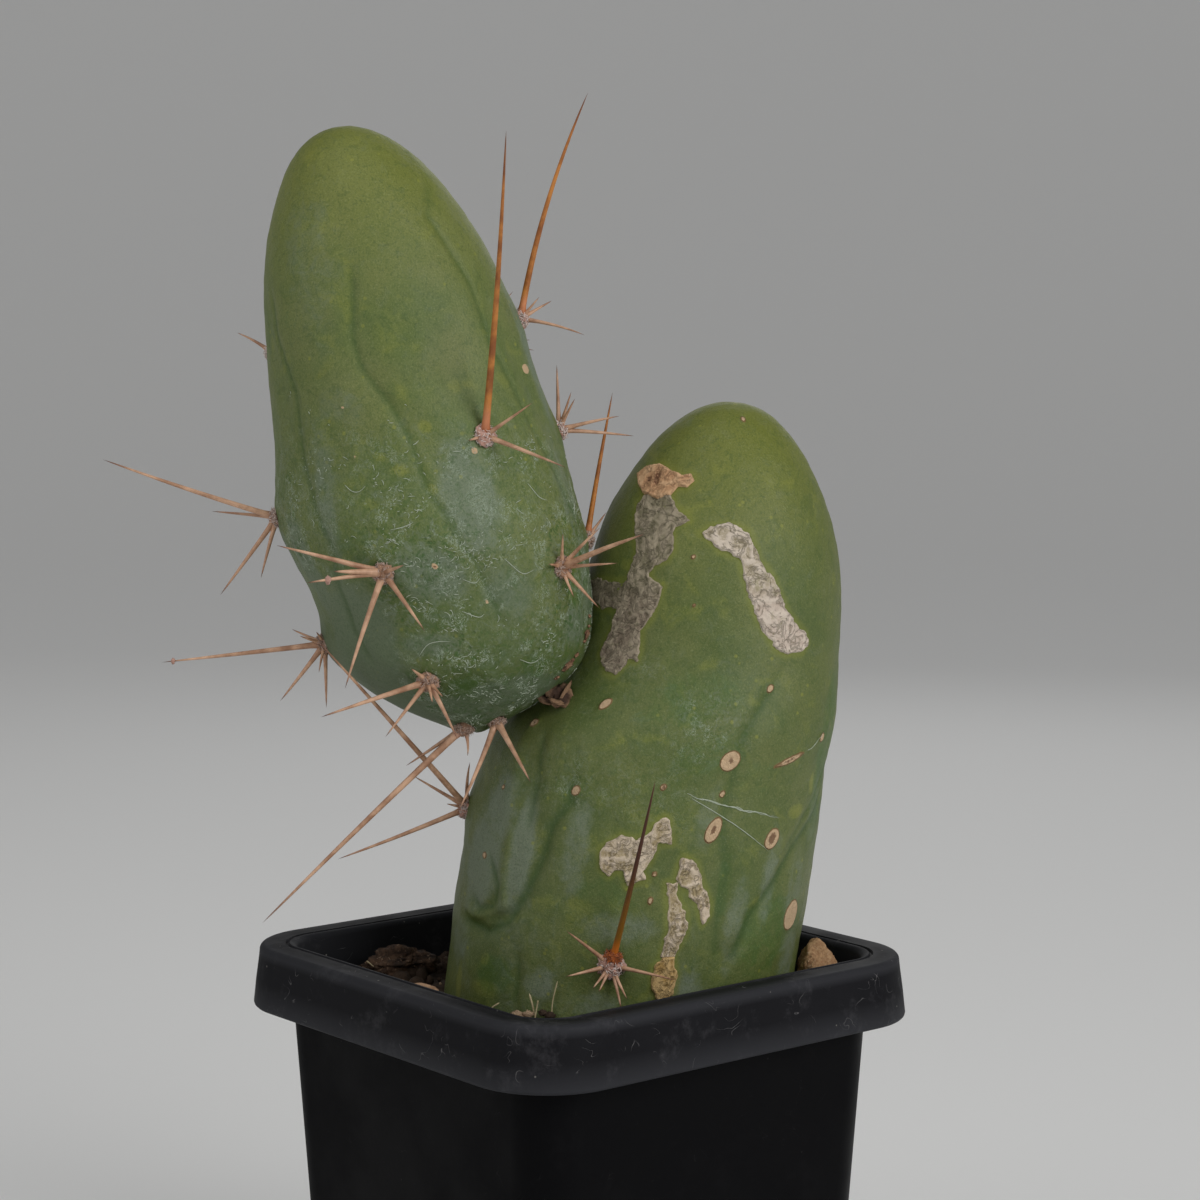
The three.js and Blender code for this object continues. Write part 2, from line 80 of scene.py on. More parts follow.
# The first grooves of each stem are those in front, which the folds below draw more closely
FRONT_GROOVES = 3

# Distances further than these count as out of reach
FAR = 99.0
MARK_REACH = 9.0
FOLD_REACH = 6
# The swelling under each areole, and the dimple under its cushion
SWELLING_RISE = 0.4
SWELLING_REACH = 3.2
DIMPLE_DEPTH = 0.5

# Skin meshes: columns are finer on the side that faces the viewer
FRONT_TURN = 100
SKIN_RINGS = 236
FRONT_COLUMNS = 288
BACK_COLUMNS = 112

# Corky scars on the main stem, each with its outline of (turn, height). Rise, crinkle and lip are the
# heights of its surface, its wrinkles and its edge in millimetres, and ragged is how far its edge strays.
SCAR_GRAIN = 0.15
SCAR_ROOT = 0.25
SCAR_THICKNESS = 0.5
MAIN_SCARS = [
    {"look": "cap", "rise": 0.5, "crinkle": 0.1, "lip": 0.1, "ragged": 0.12,
     "pits": [(-50, 131.2), (-44, 131.9), (-43, 130.9)],
     "outline": [(-66, 131.8), (-58, 133), (-48, 133.4), (-36, 132.6), (-28, 132), (-22, 132.3), (-19, 131.4),
                 (-22, 130.5), (-28, 130.6), (-31, 129.4), (-38, 129), (-50, 129.4), (-58, 130.6)]},
    {"look": "grey_scar", "rise": 0.1, "crinkle": 0.16, "lip": 0.12, "ragged": 0.34,
     "outline": [(-49, 129.6), (-31, 129.6), (-23, 127.4), (-18, 127), (-16, 126.2), (-24, 125.4),
                 (-22, 122.2), (-24, 121), (-30, 120.2), (-32, 118.6), (-28, 117.8), (-24, 117.4),
                 (-24, 116.2), (-26, 113.4), (-30, 111.4), (-28, 108.6), (-28, 107.4), (-32, 107.4),
                 (-35, 105.4), (-40, 105.8), (-48, 108.2), (-46, 112.6), (-42, 116.6), (-43, 118.2),
                 (-42, 121.8), (-48, 125.8), (-52, 127.8)]},
    {"look": "grey_scar", "rise": 0.05, "crinkle": 0.1, "lip": 0.05, "ragged": 0.4,
     "outline": [(-41, 118), (-50, 117.8), (-60, 117.8), (-84, 117.4), (-80, 115), (-57, 114.2), (-48, 113.8),
                 (-42, 114.6)]},
    {"look": "pale_scar", "rise": 0.16, "crinkle": 0.22, "lip": 0.12, "ragged": 0.34,
     "outline": [(-10, 124.6), (-4, 125.4), (3, 125.8), (8, 125.4), (14, 124.6), (16, 123), (18, 121),
                 (22, 119.8), (26, 118.2), (28, 116.6), (34, 113.4), (44, 110.6), (46, 109.4), (43, 108.2),
                 (35, 108.2), (29, 109), (22, 111.8), (17, 114.2), (14, 117), (10, 119.8), (9, 121.4),
                 (4, 121.8), (0, 122.2), (-4, 123.4)]},
    {"look": "mixed_scar", "rise": 0.16, "crinkle": 0.2, "lip": 0.1, "ragged": 0.3,
     "outline": [(-14, 82.6), (-12, 83.8), (-8, 85), (-3, 84.6), (0, 85.4), (4, 87.4), (6, 87), (8, 83.8),
                 (4, 83.8), (2, 81.4), (0, 80.2), (2, 79), (-4, 78.2), (-6, 80.2), (-8, 80.2), (-10, 79.4),
                 (-13, 80.6)]},
    {"look": "mixed_scar", "rise": 0.2, "crinkle": 0.2, "lip": 0.1, "ragged": 0.28,
     "outline": [(12, 81.8), (14, 81.8), (17, 81), (19, 79), (24, 75.4), (24, 73.8), (22, 72.6), (19, 75.4),
                 (16, 77), (11, 79), (11, 80.2)]},
    {"look": "mixed_scar", "rise": 0.16, "crinkle": 0.18, "lip": 0.08, "ragged": 0.28,
     "outline": [(8, 78.6), (12, 78.6), (12, 77), (16, 74.6), (17, 72.2), (14, 68.6), (10, 68.6), (11, 71.8),
                 (10, 75)]},
    {"look": "tan_scar", "rise": 0.3, "crinkle": 0.2, "lip": 0.1, "ragged": 0.24,
     "outline": [(8, 67.4), (11, 68.4), (14, 68.4), (16, 65.8), (16, 63.4), (13, 62.6), (11, 62.6),
                 (9, 64.2)]},
]
# How strongly each kind of scar is marked, and its colours: valley (darkened as painted shade), slope,
# crest (lightened as painted highlight), window of old skin, and the slope's colour low down
SCAR_COLOURS = {
    "cap": (0.3, (112, 76, 56), (188, 146, 110), (212, 174, 136), (178, 136, 100)),
    "grey_scar": (0.55, (78, 72, 52), (124, 117, 95), (162, 150, 130), (104, 103, 72), (124, 111, 96)),
    "pale_scar": (0.7, (104, 96, 68), (164, 152, 130), (206, 193, 178), (140, 134, 98), (188, 172, 158)),
    "mixed_scar": (0.6, (100, 86, 52), (158, 142, 110), (208, 192, 172), (118, 116, 66)),
    "tan_scar": (0.6, (96, 80, 42), (156, 126, 76), (202, 172, 122), (120, 108, 54)),
}
# Round marks: turn, height, half width, half height, the dark middle's share of that size, and the tilt
# of their long side to the right in degrees
MAIN_SPOTS = [
    (22, 94.6, 1.5, 1.35, 0.24, 0), (-30, 101.8, 0.72, 0.7, 0, 0), (-54, 98.6, 0.7, 0.5, 0.25, 0),
    (-26, 90.6, 0.7, 0.66, 0.2, 0), (22, 90.2, 0.45, 0.42, 0, 0), (21, 85.4, 1.1, 1.75, 0.32, 24),
    (44, 83.4, 1.2, 1.5, 0.5, 40), (62, 71.8, 1.9, 2.1, 0, 35), (64, 96.2, 0.7, 0.6, 0, 0),
    (30, 103.8, 0.55, 0.5, 0, 0), (46, 94, 0.42, 2.6, 0.42, 76), (2, 91.4, 0.42, 0.42, 0.6, 0),
    (4, 79.8, 0.35, 0.35, 0, 0), (4, 76.2, 0.35, 0.5, 0, 0), (-56, 89.8, 0.4, 0.3, 0, 0),
    (-60, 80.2, 0.5, 0.45, 0.3, 0), (17, 139.4, 0.3, 0.3, 0, 0), (-12, 121.4, 0.3, 0.3, 0, 0),
    (-9, 115, 0.25, 0.25, 0, 0), (146, 108, 1.1, 0.9, 0.3, 20), (-160, 86, 1.4, 1.1, 0.3, 0),
    (170, 74, 0.7, 0.7, 0, 0), (120, 92, 0.8, 0.8, 0.3, 0),
]
BRANCH_SPOTS = [
    (70, 146.5, 0.85, 0.65, 0, 0), (25, 136.1, 0.45, 0.42, 0, 0), (1, 121.3, 0.42, 0.38, 0.5, 0),
    (17, 116.5, 0.3, 0.25, 0, 0), (-22, 135.3, 0.22, 0.22, 0, 0), (-24, 141.7, 0.22, 0.22, 0, 0),
    (150, 138, 0.7, 0.6, 0, 0), (-160, 120, 0.9, 0.7, 0.3, 0), (166, 146, 0.4, 0.4, 0, 0),
]
# Patches of colour with soft edges: turn, height, half width, half height, strength
MAIN_BLOOM = [
    (-62, 79.4, 4, 6, 0.95), (-42, 81.8, 1.6, 7, 0.75), (-56, 87, 3, 4, 0.8), (-22, 83, 1.8, 6, 0.55),
    (-4, 72.4, 5, 2, 0.5), (46, 77.8, 1.5, 6, 0.55), (62, 75, 2.4, 6, 0.4), (18, 87, 1.4, 4, 0.35),
    (34, 72, 1.5, 6, 0.45), (18, 63.8, 3, 1.8, 0.4), (-28, 64.4, 2, 1.8, 0.55),
    (70, 86, 2, 4, 0.4), (-70, 68, 3, 3, 0.4), (-8, 62, 3, 1.6, 0.5), (66, 66, 3, 4, 0.5),
]
MAIN_GREENS = [
    (-46, 64.6, 4, 3, 0.7), (-12, 77, 4, 3, 0.45), (0, 102.6, 8, 4, 0.5), (14, 95.6, 6, 3.4, 0.45),
    (34, 91.8, 4, 3, 0.4), (-10, 95, 5, 3, 0.3), (28, 78, 1.2, 7, 0.5), (4, 68, 4, 4, 0.35),
    (-16, 66, 3, 4, 0.4), (72, 94, 4, 13, 0.6), (48, 70, 6, 7, 0.6),
]
MAIN_YELLOWS = [
    (-66, 61.8, 1, 3, 0.8), (-51, 66.4, 1.1, 1, 0.6), (-42, 69, 1.4, 0.8, 0.4), (-16, 97.4, 0.6, 0.6, 0.5),
    (2, 86.4, 2, 1.6, 0.6), (-12, 84.6, 3, 2.2, 0.4), (9, 76, 1.6, 4, 0.4), (55, 86.6, 2, 1, 0.9),
    (63, 90, 0.8, 1.6, 0.8), (13, 114, 3, 5, 0.35), (-16, 120, 2, 6, 0.3), (-50, 62.4, 3, 1.4, 0.6),
    (-34, 94, 0.7, 0.6, 0.5), (-38, 98, 0.6, 0.5, 0.5), (-24, 95, 0.7, 0.5, 0.5),
]
BRANCH_BLOOM = [
    (20, 130.6, 3.6, 6.8, 0.8), (82, 148.5, 2, 9, 0.8), (72, 132, 3, 6, 0.45), (62, 112.6, 2.6, 2.6, 0.75),
    (-2, 120.2, 4.6, 3.2, 0.65), (27, 117.8, 3.4, 3, 0.5), (-42, 110, 5.4, 8, 1), (-60, 120, 2.4, 7, 0.7),
    (38, 104, 6, 2.2, 0.9), (-9, 110.8, 4, 1.4, 0.6), (-38, 130, 1.6, 8, 0.5), (-26, 101.4, 9, 2.2, 1),
    (-78, 105, 6, 7, 0.9), (-84, 122, 4, 4, 0.6), (-26, 142, 3, 2, 0.3), (-32, 160, 4, 9, 0.25),
    (78, 118, 4, 6, 0.5),
]
BRANCH_GREENS = [
    (5, 104.6, 2.4, 1.9, 0.9), (62, 116.6, 2, 3, 0.9), (-8, 115, 3.4, 3, 0.5), (38, 107.6, 2.4, 2, 0.6),
    (-52, 152, 3, 5, 0.35), (28, 125, 3, 2.6, 0.4), (-28, 124, 3.6, 3.4, 0.5), (8, 127, 4, 3, 0.3),
    (44, 122, 3, 3, 0.3), (16, 109, 3.4, 2.4, 0.45),
]
BRANCH_YELLOWS = [
    (8, 139.3, 0.9, 0.9, 0.9), (24, 144.5, 1.1, 1, 0.6), (6, 131.3, 0.8, 0.8, 0.8),
    (-18, 129.3, 1.2, 0.9, 0.6), (-5, 133.7, 1.3, 0.8, 0.8), (-12, 135.4, 1, 0.7, 0.7),
    (-18, 137.4, 0.9, 0.6, 0.5), (42, 149.7, 1.6, 4, 0.3), (62, 116, 1.4, 2.4, 0.5),
    (-20, 120.6, 1.6, 1, 0.4), (60, 136, 1.4, 4, 0.35),
]
# Scratches on the main stem, each with its width and how far its strands stray, in millimetres
MAIN_SCRATCHES = [
    {"line": [(10, 90.4), (24, 88.6), (38, 87), (51, 85.6)], "radius": 0.06, "stray": 0.22, "strands": 5},
    {"line": [(12, 89.8), (28, 86), (43, 81.8)], "radius": 0.07, "stray": 0.03, "strands": 1},
    {"line": [(55, 94.8), (60, 95.6), (65, 97.4)], "radius": 0.05, "stray": 0.1, "strands": 2},
]
SCRATCH_STEPS = 40
# Folds of the skin: lines of (turn, height), with each fold's depth and width in mm. A ridge has a
# depth below 0. The solids' broad grooves are kept at a share of their depth.
GROOVE_KEPT = 0.3
MAIN_FOLDS = [
    {"line": [(-30, 93), (-27, 89), (-32, 85.8), (-34, 81), (-38, 76.2), (-43, 72.2), (-52, 70.2), (-70, 71)],
     "depth": 0.6, "width": 1},
    {"line": [(-48, 86), (-48, 81.8), (-48, 77.4), (-46, 74.2), (-52, 71.8), (-62, 71.8), (-69, 73.4)],
     "depth": -0.5, "width": 1},
    {"line": [(-60, 81.6), (-50, 76.6), (-51, 73.8), (-58, 72.9), (-66, 74.6)], "depth": 0.4, "width": 0.7},
    {"line": [(33, 106), (25, 98), (24, 85.8), (28, 79), (27, 72), (30, 66)], "depth": 0.3, "width": 1},
    {"line": [(84, 92), (72, 85.6), (56, 81.4), (47, 76.2), (40, 73), (34, 66)], "depth": 0.45, "width": 1},
    {"line": [(84, 95), (66, 87.2), (59, 84.6), (50, 80.4)], "depth": 0.25, "width": 0.7},
    {"line": [(-48, 99), (-42, 92.2), (-41, 84)], "depth": 0.3, "width": 0.9},
    {"line": [(-56, 98), (-52, 91), (-54, 85)], "depth": -0.35, "width": 1.4},
    {"line": [(-38, 69), (-36, 65.8), (-36, 60)], "depth": 0.3, "width": 0.8},
]
BRANCH_FOLDS = [
    {"line": [(-10, 160.5), (-12, 155.7), (-15, 150.5), (-13, 146.5), (-4, 142.1), (1, 137.7), (4, 131.3),
              (9, 128.1), (17, 121.3), (22, 112.5)], "depth": 0.3, "width": 0.75},
    {"line": [(-64, 156.9), (-60, 150.5), (-49, 143.7), (-49, 134.1), (-44, 128.1), (-38, 122.9),
              (-46, 118.1), (-46, 112.5), (-36, 107.3)], "depth": 0.3, "width": 0.7},
    {"line": [(-45, 145.3), (-34, 145.3), (-26, 145.7)], "depth": 0.12, "width": 0.5},
    {"line": [(60, 172), (40, 166.5), (49, 158.1), (48, 149.7), (54, 145.3), (58, 139.7), (64, 134.5),
              (70, 128.9), (78, 125.7)], "depth": 0.25, "width": 0.7},
    {"line": [(40, 144.5), (48, 141.7), (58, 139.7)], "depth": 0.15, "width": 0.5},
    {"line": [(-4, 107.7), (8, 108.1), (17, 106.5), (28, 104.1)], "depth": -0.3, "width": 0.7},
    {"line": [(-14, 109.3), (-6, 111.3), (0, 111.3)], "depth": -0.25, "width": 0.6},
    {"line": [(-18, 123.7), (-10, 122.5), (-4, 123.7)], "depth": -0.2, "width": 0.5},
    {"line": [(28, 122.1), (34, 120.1), (40, 120.5)], "depth": -0.2, "width": 0.5},
]
# Pale curled threads on the branch's skin, and how many small curls are tried
THREAD_RADIUS = 0.055
CURL_RADIUS = 0.045
CURL_TRIES = 7500
BRANCH_THREADS = [
    [(-28, 131.7), (-25, 130.9), (-22, 130.9), (-19, 131.7)], [(46, 131.7), (50, 129.9), (55, 129.3)],
    [(6, 115.3), (12, 114.5), (15, 114.9)], [(-12, 126), (-7, 126.4), (-3, 127)],
    [(10, 119.5), (14, 119), (17, 119.6)], [(28, 122.1), (34, 120.1), (40, 120.5)],
    [(-14, 109.3), (-10, 110.8), (-5, 111.3), (0, 111.3)], [(30, 108.6), (36, 108), (41, 108.6)],
]

# Corky flakes on the branch's edge, as (turn, height, size)
BRANCH_FLAKES = [(75, 110.8, 1.3), (72, 110, 0.4), (66, 108.4, 0.6), (63, 106.9, 1.4), (59, 105.4, 0.5),
                 (78, 113.2, 0.5), (64, 107.8, 0.35), (77, 111.9, 0.4)]
# Lobes of the dry bract: place, the direction that each faces, and half sizes
HUSK_LOBES = [
    ((-2.2, -14, 102.6), (0.35, -0.9, 0.25), (1.7, 1.5, 0.3)),
    ((-3.6, -14, 102.2), (0.2, -0.8, 0.55), (1.6, 0.9, 0.28)),
    ((-1.3, -14.4, 103.4), (0.75, -0.65, 0.1), (0.3, 1.7, 0.16)),
    ((-2.6, -14.9, 101.9), (0.3, -0.85, 0.4), (1.1, 0.3, 0.14)),
]

# Pot, with the same driving sizes as the solid, and the rounding of its hem and rim
POT = {
    "height": 65, "lip_half": 35, "lip_corner": 10.5, "lip_drop": 8.8, "flare": 1, "lip_wall": 1.2,
    "body_half": 31, "body_corner": 6.5, "taper": 0.052, "wall": 1, "floor": 1.5,
    "drain_radius": 4, "drain_spacing": 17, "corner_steps": 18,
    "hem_round": 0.6, "rim_round": 0.8, "sharp_from": 38,
}
SOIL_GAP = 0.3
GRAINS = 900
# Loose pieces on the soil: the same lumps as the solids', how broken each skin is, its colours, with
# painted glints as the last, and the size of its patches
LUMPS = [
    {"name": "bark_chunk", "node": "soil_bark", "slot": "bark",
     "centre": (-25.5, 7, 61), "half_sizes": (4.7, 3.4, 2.2), "turn": 15, "bumps": 0.24, "broken": 0.2,
     "dark": (38, 28, 22), "light": (92, 70, 54), "glints": (160, 134, 112), "patch": 1.6},
    {"name": "pebble_chip", "node": "soil_pebble", "slot": "pebble",
     "centre": (-21.5, -9, 60.3), "half_sizes": (2.6, 2, 1.5), "turn": 0, "bumps": 0.08, "broken": 0.06,
     "dark": (150, 112, 84), "light": (196, 160, 128), "glints": (226, 204, 180), "patch": 0.9},
    {"name": "pumice_chip", "node": "soil_pumice", "slot": "pumice",
     "centre": (33.7, -2.5, 62.4), "half_sizes": (2.6, 3, 3.7), "turn": 20, "bumps": 0.2, "broken": 0.09,
     "dark": (150, 112, 80), "light": (192, 156, 116), "glints": (216, 190, 160), "patch": 0.9},
]
# Crumbs lying against the lip in front of the main stem: place, size and tone
CRUMBS = [((-7.9, -21, 60.3), 0.75, 0.95), ((-6.4, -21.1, 60.5), 0.6, 0.9), ((-4.4, -20.9, 60.7), 0.5, 0.1),
          ((-3.4, -21, 60.4), 0.6, 0.3), ((-8.8, -21, 60), 0.5, 0.2), ((-25.6, -13, 60.2), 0.9, 0.9)]
# Stray fibres, as lines of places in millimetres, each with its radius
FIBRE_STEPS = 14
FIBRES = [
    ([(-3.2, -21, 59), (-3.1, -21, 62), (-2.4, -21, 65.1)], 0.09),
    ([(-5.4, -21, 59), (-5.6, -21, 61), (-6.2, -21, 63.4)], 0.14),
    ([(-5.6, -21.4, 59), (-5.2, -21.4, 61.4), (-5, -21.6, 62.6)], 0.1),
    ([(-30, 4, 62), (-29, 4, 61.2), (-27.7, 4, 60.4)], 0.1),
    ([(-12.2, -20, 59), (-11.4, -20.2, 61), (-10.2, -20.6, 62)], 0.1),
]

# Areoles. Each spine is [clock, lean, length, thickness, bend], with angles in degrees: clock is its
# direction as seen from the front, clockwise from straight up, lean is how far it points towards the
# viewer, and bend is how much its direction turns clockwise from root to tip.
HORN, FELT = 0, 1
CUSHION_LIFT = 0.3
CUSHION_SHAPE = (0.98, 0.98, 0.72)
WOOL_HAIRS = 230
LYING_HAIRS = 120
HAIR_SIDES = 4
LONG_SPINE = 18
SPINE_FULLNESS = 0.6
SPINE_SIDES = 10
BRANCH_AREOLES = [
    {"turn": 31, "height": 138, "radius": 1.4,
     "spines": [[5, 20, 41, 1.2], [55, 25, 8.5, 0.6], [110, 25, 12.5, 0.75], [-105, 45, 3, 0.6]]},
    {"turn": 91, "height": 153, "radius": 1.2,
     "spines": [[17, 5, 31.5, 1.1, 14], [41, 10, 4, 0.5], [60, -10, 5, 0.6], [104, 5, 9, 0.6, 16]]},
    {"turn": 95, "height": 138, "radius": 1.3,
     "spines": [[-2, -10, 9, 0.7], [18, -5, 5.5, 0.6], [27, 15, 5, 0.6], [77, 0, 8.5, 0.7],
                [95, -10, 10.5, 0.7]]},
    {"turn": 100, "height": 123, "radius": 1.2,
     "spines": [[10, -5, 20.5, 1], [36, -10, 4.6, 0.6], [-20, -45, 6, 0.6]]},
    {"turn": 54, "height": 120.5, "radius": 1.4,
     "spines": [[3, 35, 5.8, 0.6], [43, 20, 8, 0.7], [65, 35, 14.5, 1], [84, 20, 8, 0.6],
                [136, 20, 7.7, 0.7], [156, 30, 4.8, 0.6], [-65, 65, 4.2, 0.6]]},
    {"turn": -19, "height": 120.5, "radius": 1.4,
     "spines": [[-74, 15, 14.5, 0.9], [-95, 30, 11, 0.8], [-85, 35, 7.5, 1.1], [-162, 15, 16, 0.9],
                [143, 18, 9.7, 0.8], [64, 60, 6.8, 0.7]], "beads": [(1, 0.72, 0.55)]},
    {"turn": -84, "height": 126.5, "radius": 1.2,
     "spines": [[-71, 5, 24.5, 1], [-86, -15, 9.5, 0.6], [-144, 10, 13, 0.8], [-166, 15, 8.6, 0.7]]},
    {"turn": -79, "height": 109.5, "radius": 1.3,
     "spines": [[-96, 5, 22, 1], [-142, 10, 9.8, 0.8], [178, 12, 8.7, 0.7], [-172, 45, 5, 0.5],
                [-69, -20, 5.3, 0.6], [-66, 40, 4.4, 0.6], [-25, 50, 3.3, 0.6]], "beads": [(0, 0.93, 0.4)]},
    {"turn": -12, "height": 106, "radius": 1.4,
     "spines": [[-107, 15, 15, 0.9], [-142, 15, 9.3, 0.7], [152, 15, 8.5, 0.8], [128, 50, 4.2, 0.6],
                [-45, 45, 4.1, 0.7], [164, 50, 4, 0.6]]},
    {"turn": -3, "height": 98.5, "radius": 1.4,
     "spines": [[-134, 5, 38, 1.2], [-125, -10, 10, 0.7], [173, 10, 4, 0.6, 30]]},
    {"turn": 38, "height": 99.5, "radius": 1.1,
     "spines": [[148, 32, 10.5, 0.9], [-157, 12, 13.5, 0.9]]},
    {"turn": -104, "height": 148.5, "radius": 1.1,
     "spines": [[-62, -25, 6.5, 0.6, -14], [-150, -75, 5, 0.6], [-20, -78, 4.5, 0.6]]},
]
MAIN_AREOLES = [
    {"turn": -86, "height": 85, "radius": 1.5,
     "spines": [[-35, 36, 39.5, 1.1], [4, 22, 7.5, 0.7, 16], [-60, -5, 9, 0.7], [-111, 5, 19.5, 1],
                [-75, 20, 3.2, 0.6]]},
    {"turn": -5, "height": 67.5, "radius": 1.7, "orange_foot": True,
     "spines": [[12, 20, 29, 1.1], [-47, 25, 9, 0.7], [-98, 25, 6.8, 0.7], [97, 25, 9.4, 0.7],
                [152, 30, 5.3, 0.6], [166, 25, 6, 0.7], [-136, 35, 4.4, 0.6], [-151, 35, 4.3, 0.6]]},
]
BACK_OF_BRANCH = [[150, 150], [-168, 156], [-158, 130], [166, 134], [-160, 110], [168, 114]]
BACK_OF_MAIN = [[150, 121], [178, 94], [-138, 74], [152, 70]]
BACK_AREOLE_RADIUS = 1.3
BACK_RADIALS = (4, 6)
BACK_RADIAL_LENGTH = (5, 10)
BACK_CENTRAL_LENGTH = (9, 16)
BACK_RADIAL_TILT = (52, 66)
BACK_CENTRAL_TILT = 18

# Camera, from the photo: it looks level across at the plant's front and a little down
CAMERA_TARGET = (3.27, 0, 114.12)
CAMERA_DISTANCE = 395.22
CAMERA_PITCH = math.radians(5.807)
CAMERA_LENS = 85.1
CAMERA_SENSOR = 36

# Lamps: place in the plant's millimetres, width in metres, and power
LAMP_TARGET = (0, 0, 100)
LAMPS = [("key", (480, -460, 420), 0.45, 3), ("top", (-120, -220, 760), 0.6, 1.3),
         ("fill", (-480, -380, 420), 0.5, 0.85), ("back", (100, 640, 420), 0.5, 0.4)]


def srgb(red, green, blue):
    """A screen colour, 0 to 255 each, as the linear colour that a socket takes."""
    def linear(value):
        share = value / 255
        return share / 12.92 if share <= 0.04045 else ((share + 0.055) / 1.055) ** 2.4
    return tuple(linear(value) for value in (red, green, blue)) + (1,)


def to_world(points):
    """Plant places in millimetres as world places in metres."""
    x, y, z = np.asarray(points, float).T
    cos, sin = math.cos(PLANT_TURN), math.sin(PLANT_TURN)
    return np.column_stack([x * cos - y * sin, x * sin + y * cos, z]) * MM


def lattice_value(cell, seed):
    """A fixed random number from -1 to 1 for each whole-number place."""
    mixed = (cell[:, 0] * 73856093) ^ (cell[:, 1] * 19349663) ^ (cell[:, 2] * 83492791) ^ (seed * 7919)
    mixed = (mixed ^ (mixed >> 13)) * 1274126177
    mixed = mixed ^ (mixed >> 16)
    return (mixed & 0xFFFF) / 32767.5 - 1


def noise(points, lump, seed):
    """Smooth noise from -1 to 1 with lumps of about the given size."""
    place = np.asarray(points, float) / lump + seed * 17.3
    cell = np.floor(place).astype(np.int64)
    share = place - cell
    share = share * share * (3 - 2 * share)
    total = np.zeros(len(place))
    for corner in product((0, 1), repeat=3):
        weight = np.where(corner, share, 1 - share).prod(axis=1)
        total += weight * lattice_value(cell + corner, seed)
    return total


def smooth_step(share):
    share = np.clip(share, 0, 1)
    return share * share * (3 - 2 * share)


def ramp(value, start, stop):
    """A share that rises smoothly from 0 at start to 1 at stop."""
    return smooth_step((value - start) / (stop - start))


def wrap_turn(turn):
    """The same turn between -180 and 180 degrees."""
    return turn - 360 * np.round(turn / 360)


def value_at(places, values, place):
    """A smooth curve through values given at rising places, level outside them."""
    places, values = np.asarray(places, float), np.asarray(values, float)
    last = len(places) - 1
    at = np.clip(place, places[0], places[-1])
    i = np.clip(np.searchsorted(places, at) - 1, 0, last - 1)
    before = np.maximum(np.arange(last + 1) - 1, 0)
    after = np.minimum(np.arange(last + 1) + 1, last)
    slopes = (values[after] - values[before]) / (places[after] - places[before])
    span = places[i + 1] - places[i]
    t = (at - places[i]) / span
    start_share = 1 + t * t * (2 * t - 3)
    start_bend = (t - 2 * t * t + t ** 3) * span * slopes[i]
    end_bend = (t ** 3 - t * t) * span * slopes[i + 1]
    return values[i] * start_share + values[i + 1] * (1 - start_share) + start_bend + end_bend


def cap_share(distance_from_end, cap_length, power):
    """How much a stem narrows towards a rounded end: 1 in the middle and 0 at the end."""
    u = np.clip(1 - distance_from_end / cap_length, 0, 1)
    return (1 - u ** power) ** (1 / power)


def end_share(stem, height):
    return (cap_share(height - stem["bottom"], stem["bottomCap"], stem["bottomPower"])
            * cap_share(stem["top"] - height, stem["topCap"], stem["topPower"]))


def half_width(stem, height):
    return value_at(stem["heights"], stem["halfWidths"], height) * end_share(stem, height)


def groove_share(stem, groove, turn, height):
    """How much of a groove's depth is at a place, from 0 to 1."""
    first, last = groove["heights"][0], groove["heights"][-1]
    fade = (smooth_step((height - first + GROOVE_FADE) / GROOVE_FADE)
            * smooth_step((last + GROOVE_FADE - height) / GROOVE_FADE))
    away = wrap_turn(turn - value_at(groove["heights"], groove["turns"], height))
    distance = np.radians(away) * half_width(stem, height)
    return fade * np.exp(-((distance / groove["width"]) ** 2))


def stem_points(stem, turn, height):
    """Places on a stem's plain skin."""
    turn, height = np.asarray(turn, float), np.asarray(height, float)
    width = half_width(stem, height)
    depth = GROOVE_KEPT * sum(groove["depth"] * groove_share(stem, groove, turn, height)
                              for groove in stem["grooves"])
    share = 1 - depth * end_share(stem, height) / np.maximum(width, 1)
    x = value_at(stem["heights"], stem["centresX"], height) + width * share * np.sin(np.radians(turn))
    y = stem["centreY"] - width * stem["depthRatio"] * share * np.cos(np.radians(turn))
    return np.column_stack([x, y, height])


def stem_normals(stem, turn, height):
    turn, height = np.asarray(turn, float), np.asarray(height, float)
    across = stem_points(stem, turn + 2, height) - stem_points(stem, turn - 2, height)
    up = stem_points(stem, turn, height + 0.4) - stem_points(stem, turn, height - 0.4)
    normals = np.cross(across, up)
    return normals / np.maximum(np.linalg.norm(normals, axis=1), 1e-9)[:, None]


def places_from(stem, turn, height, middle_turn, middle_height=0.0):
    """Places laid out flat in millimetres, measured along the skin from a given turn and height."""
    across = np.radians(wrap_turn(turn - middle_turn)) * half_width(stem, height)
    return np.column_stack([across, height - middle_height])


def line_distance(places, corners):
    """Distance from each flat place to the nearest side of a line of corners."""
    nearest = np.full(len(places), FAR)
    for start, end in zip(corners[:-1], corners[1:]):
        along = end - start
        share = np.clip((places - start) @ along / (along @ along), 0, 1)
        away = np.linalg.norm(places - start - share[:, None] * along, axis=1)
        nearest = np.minimum(nearest, away)
    return nearest


def is_inside(places, corners):
    """Whether each flat place is inside a closed line of corners."""
    inside = np.zeros(len(places), bool)
    for start, end in zip(corners[:-1], corners[1:]):
        rise = end[1] - start[1]
        if rise != 0:
            spans = (start[1] > places[:, 1]) != (end[1] > places[:, 1])
            crossing = start[0] + (places[:, 1] - start[1]) * (end[0] - start[0]) / rise
            inside ^= spans & (places[:, 0] < crossing)
    return inside


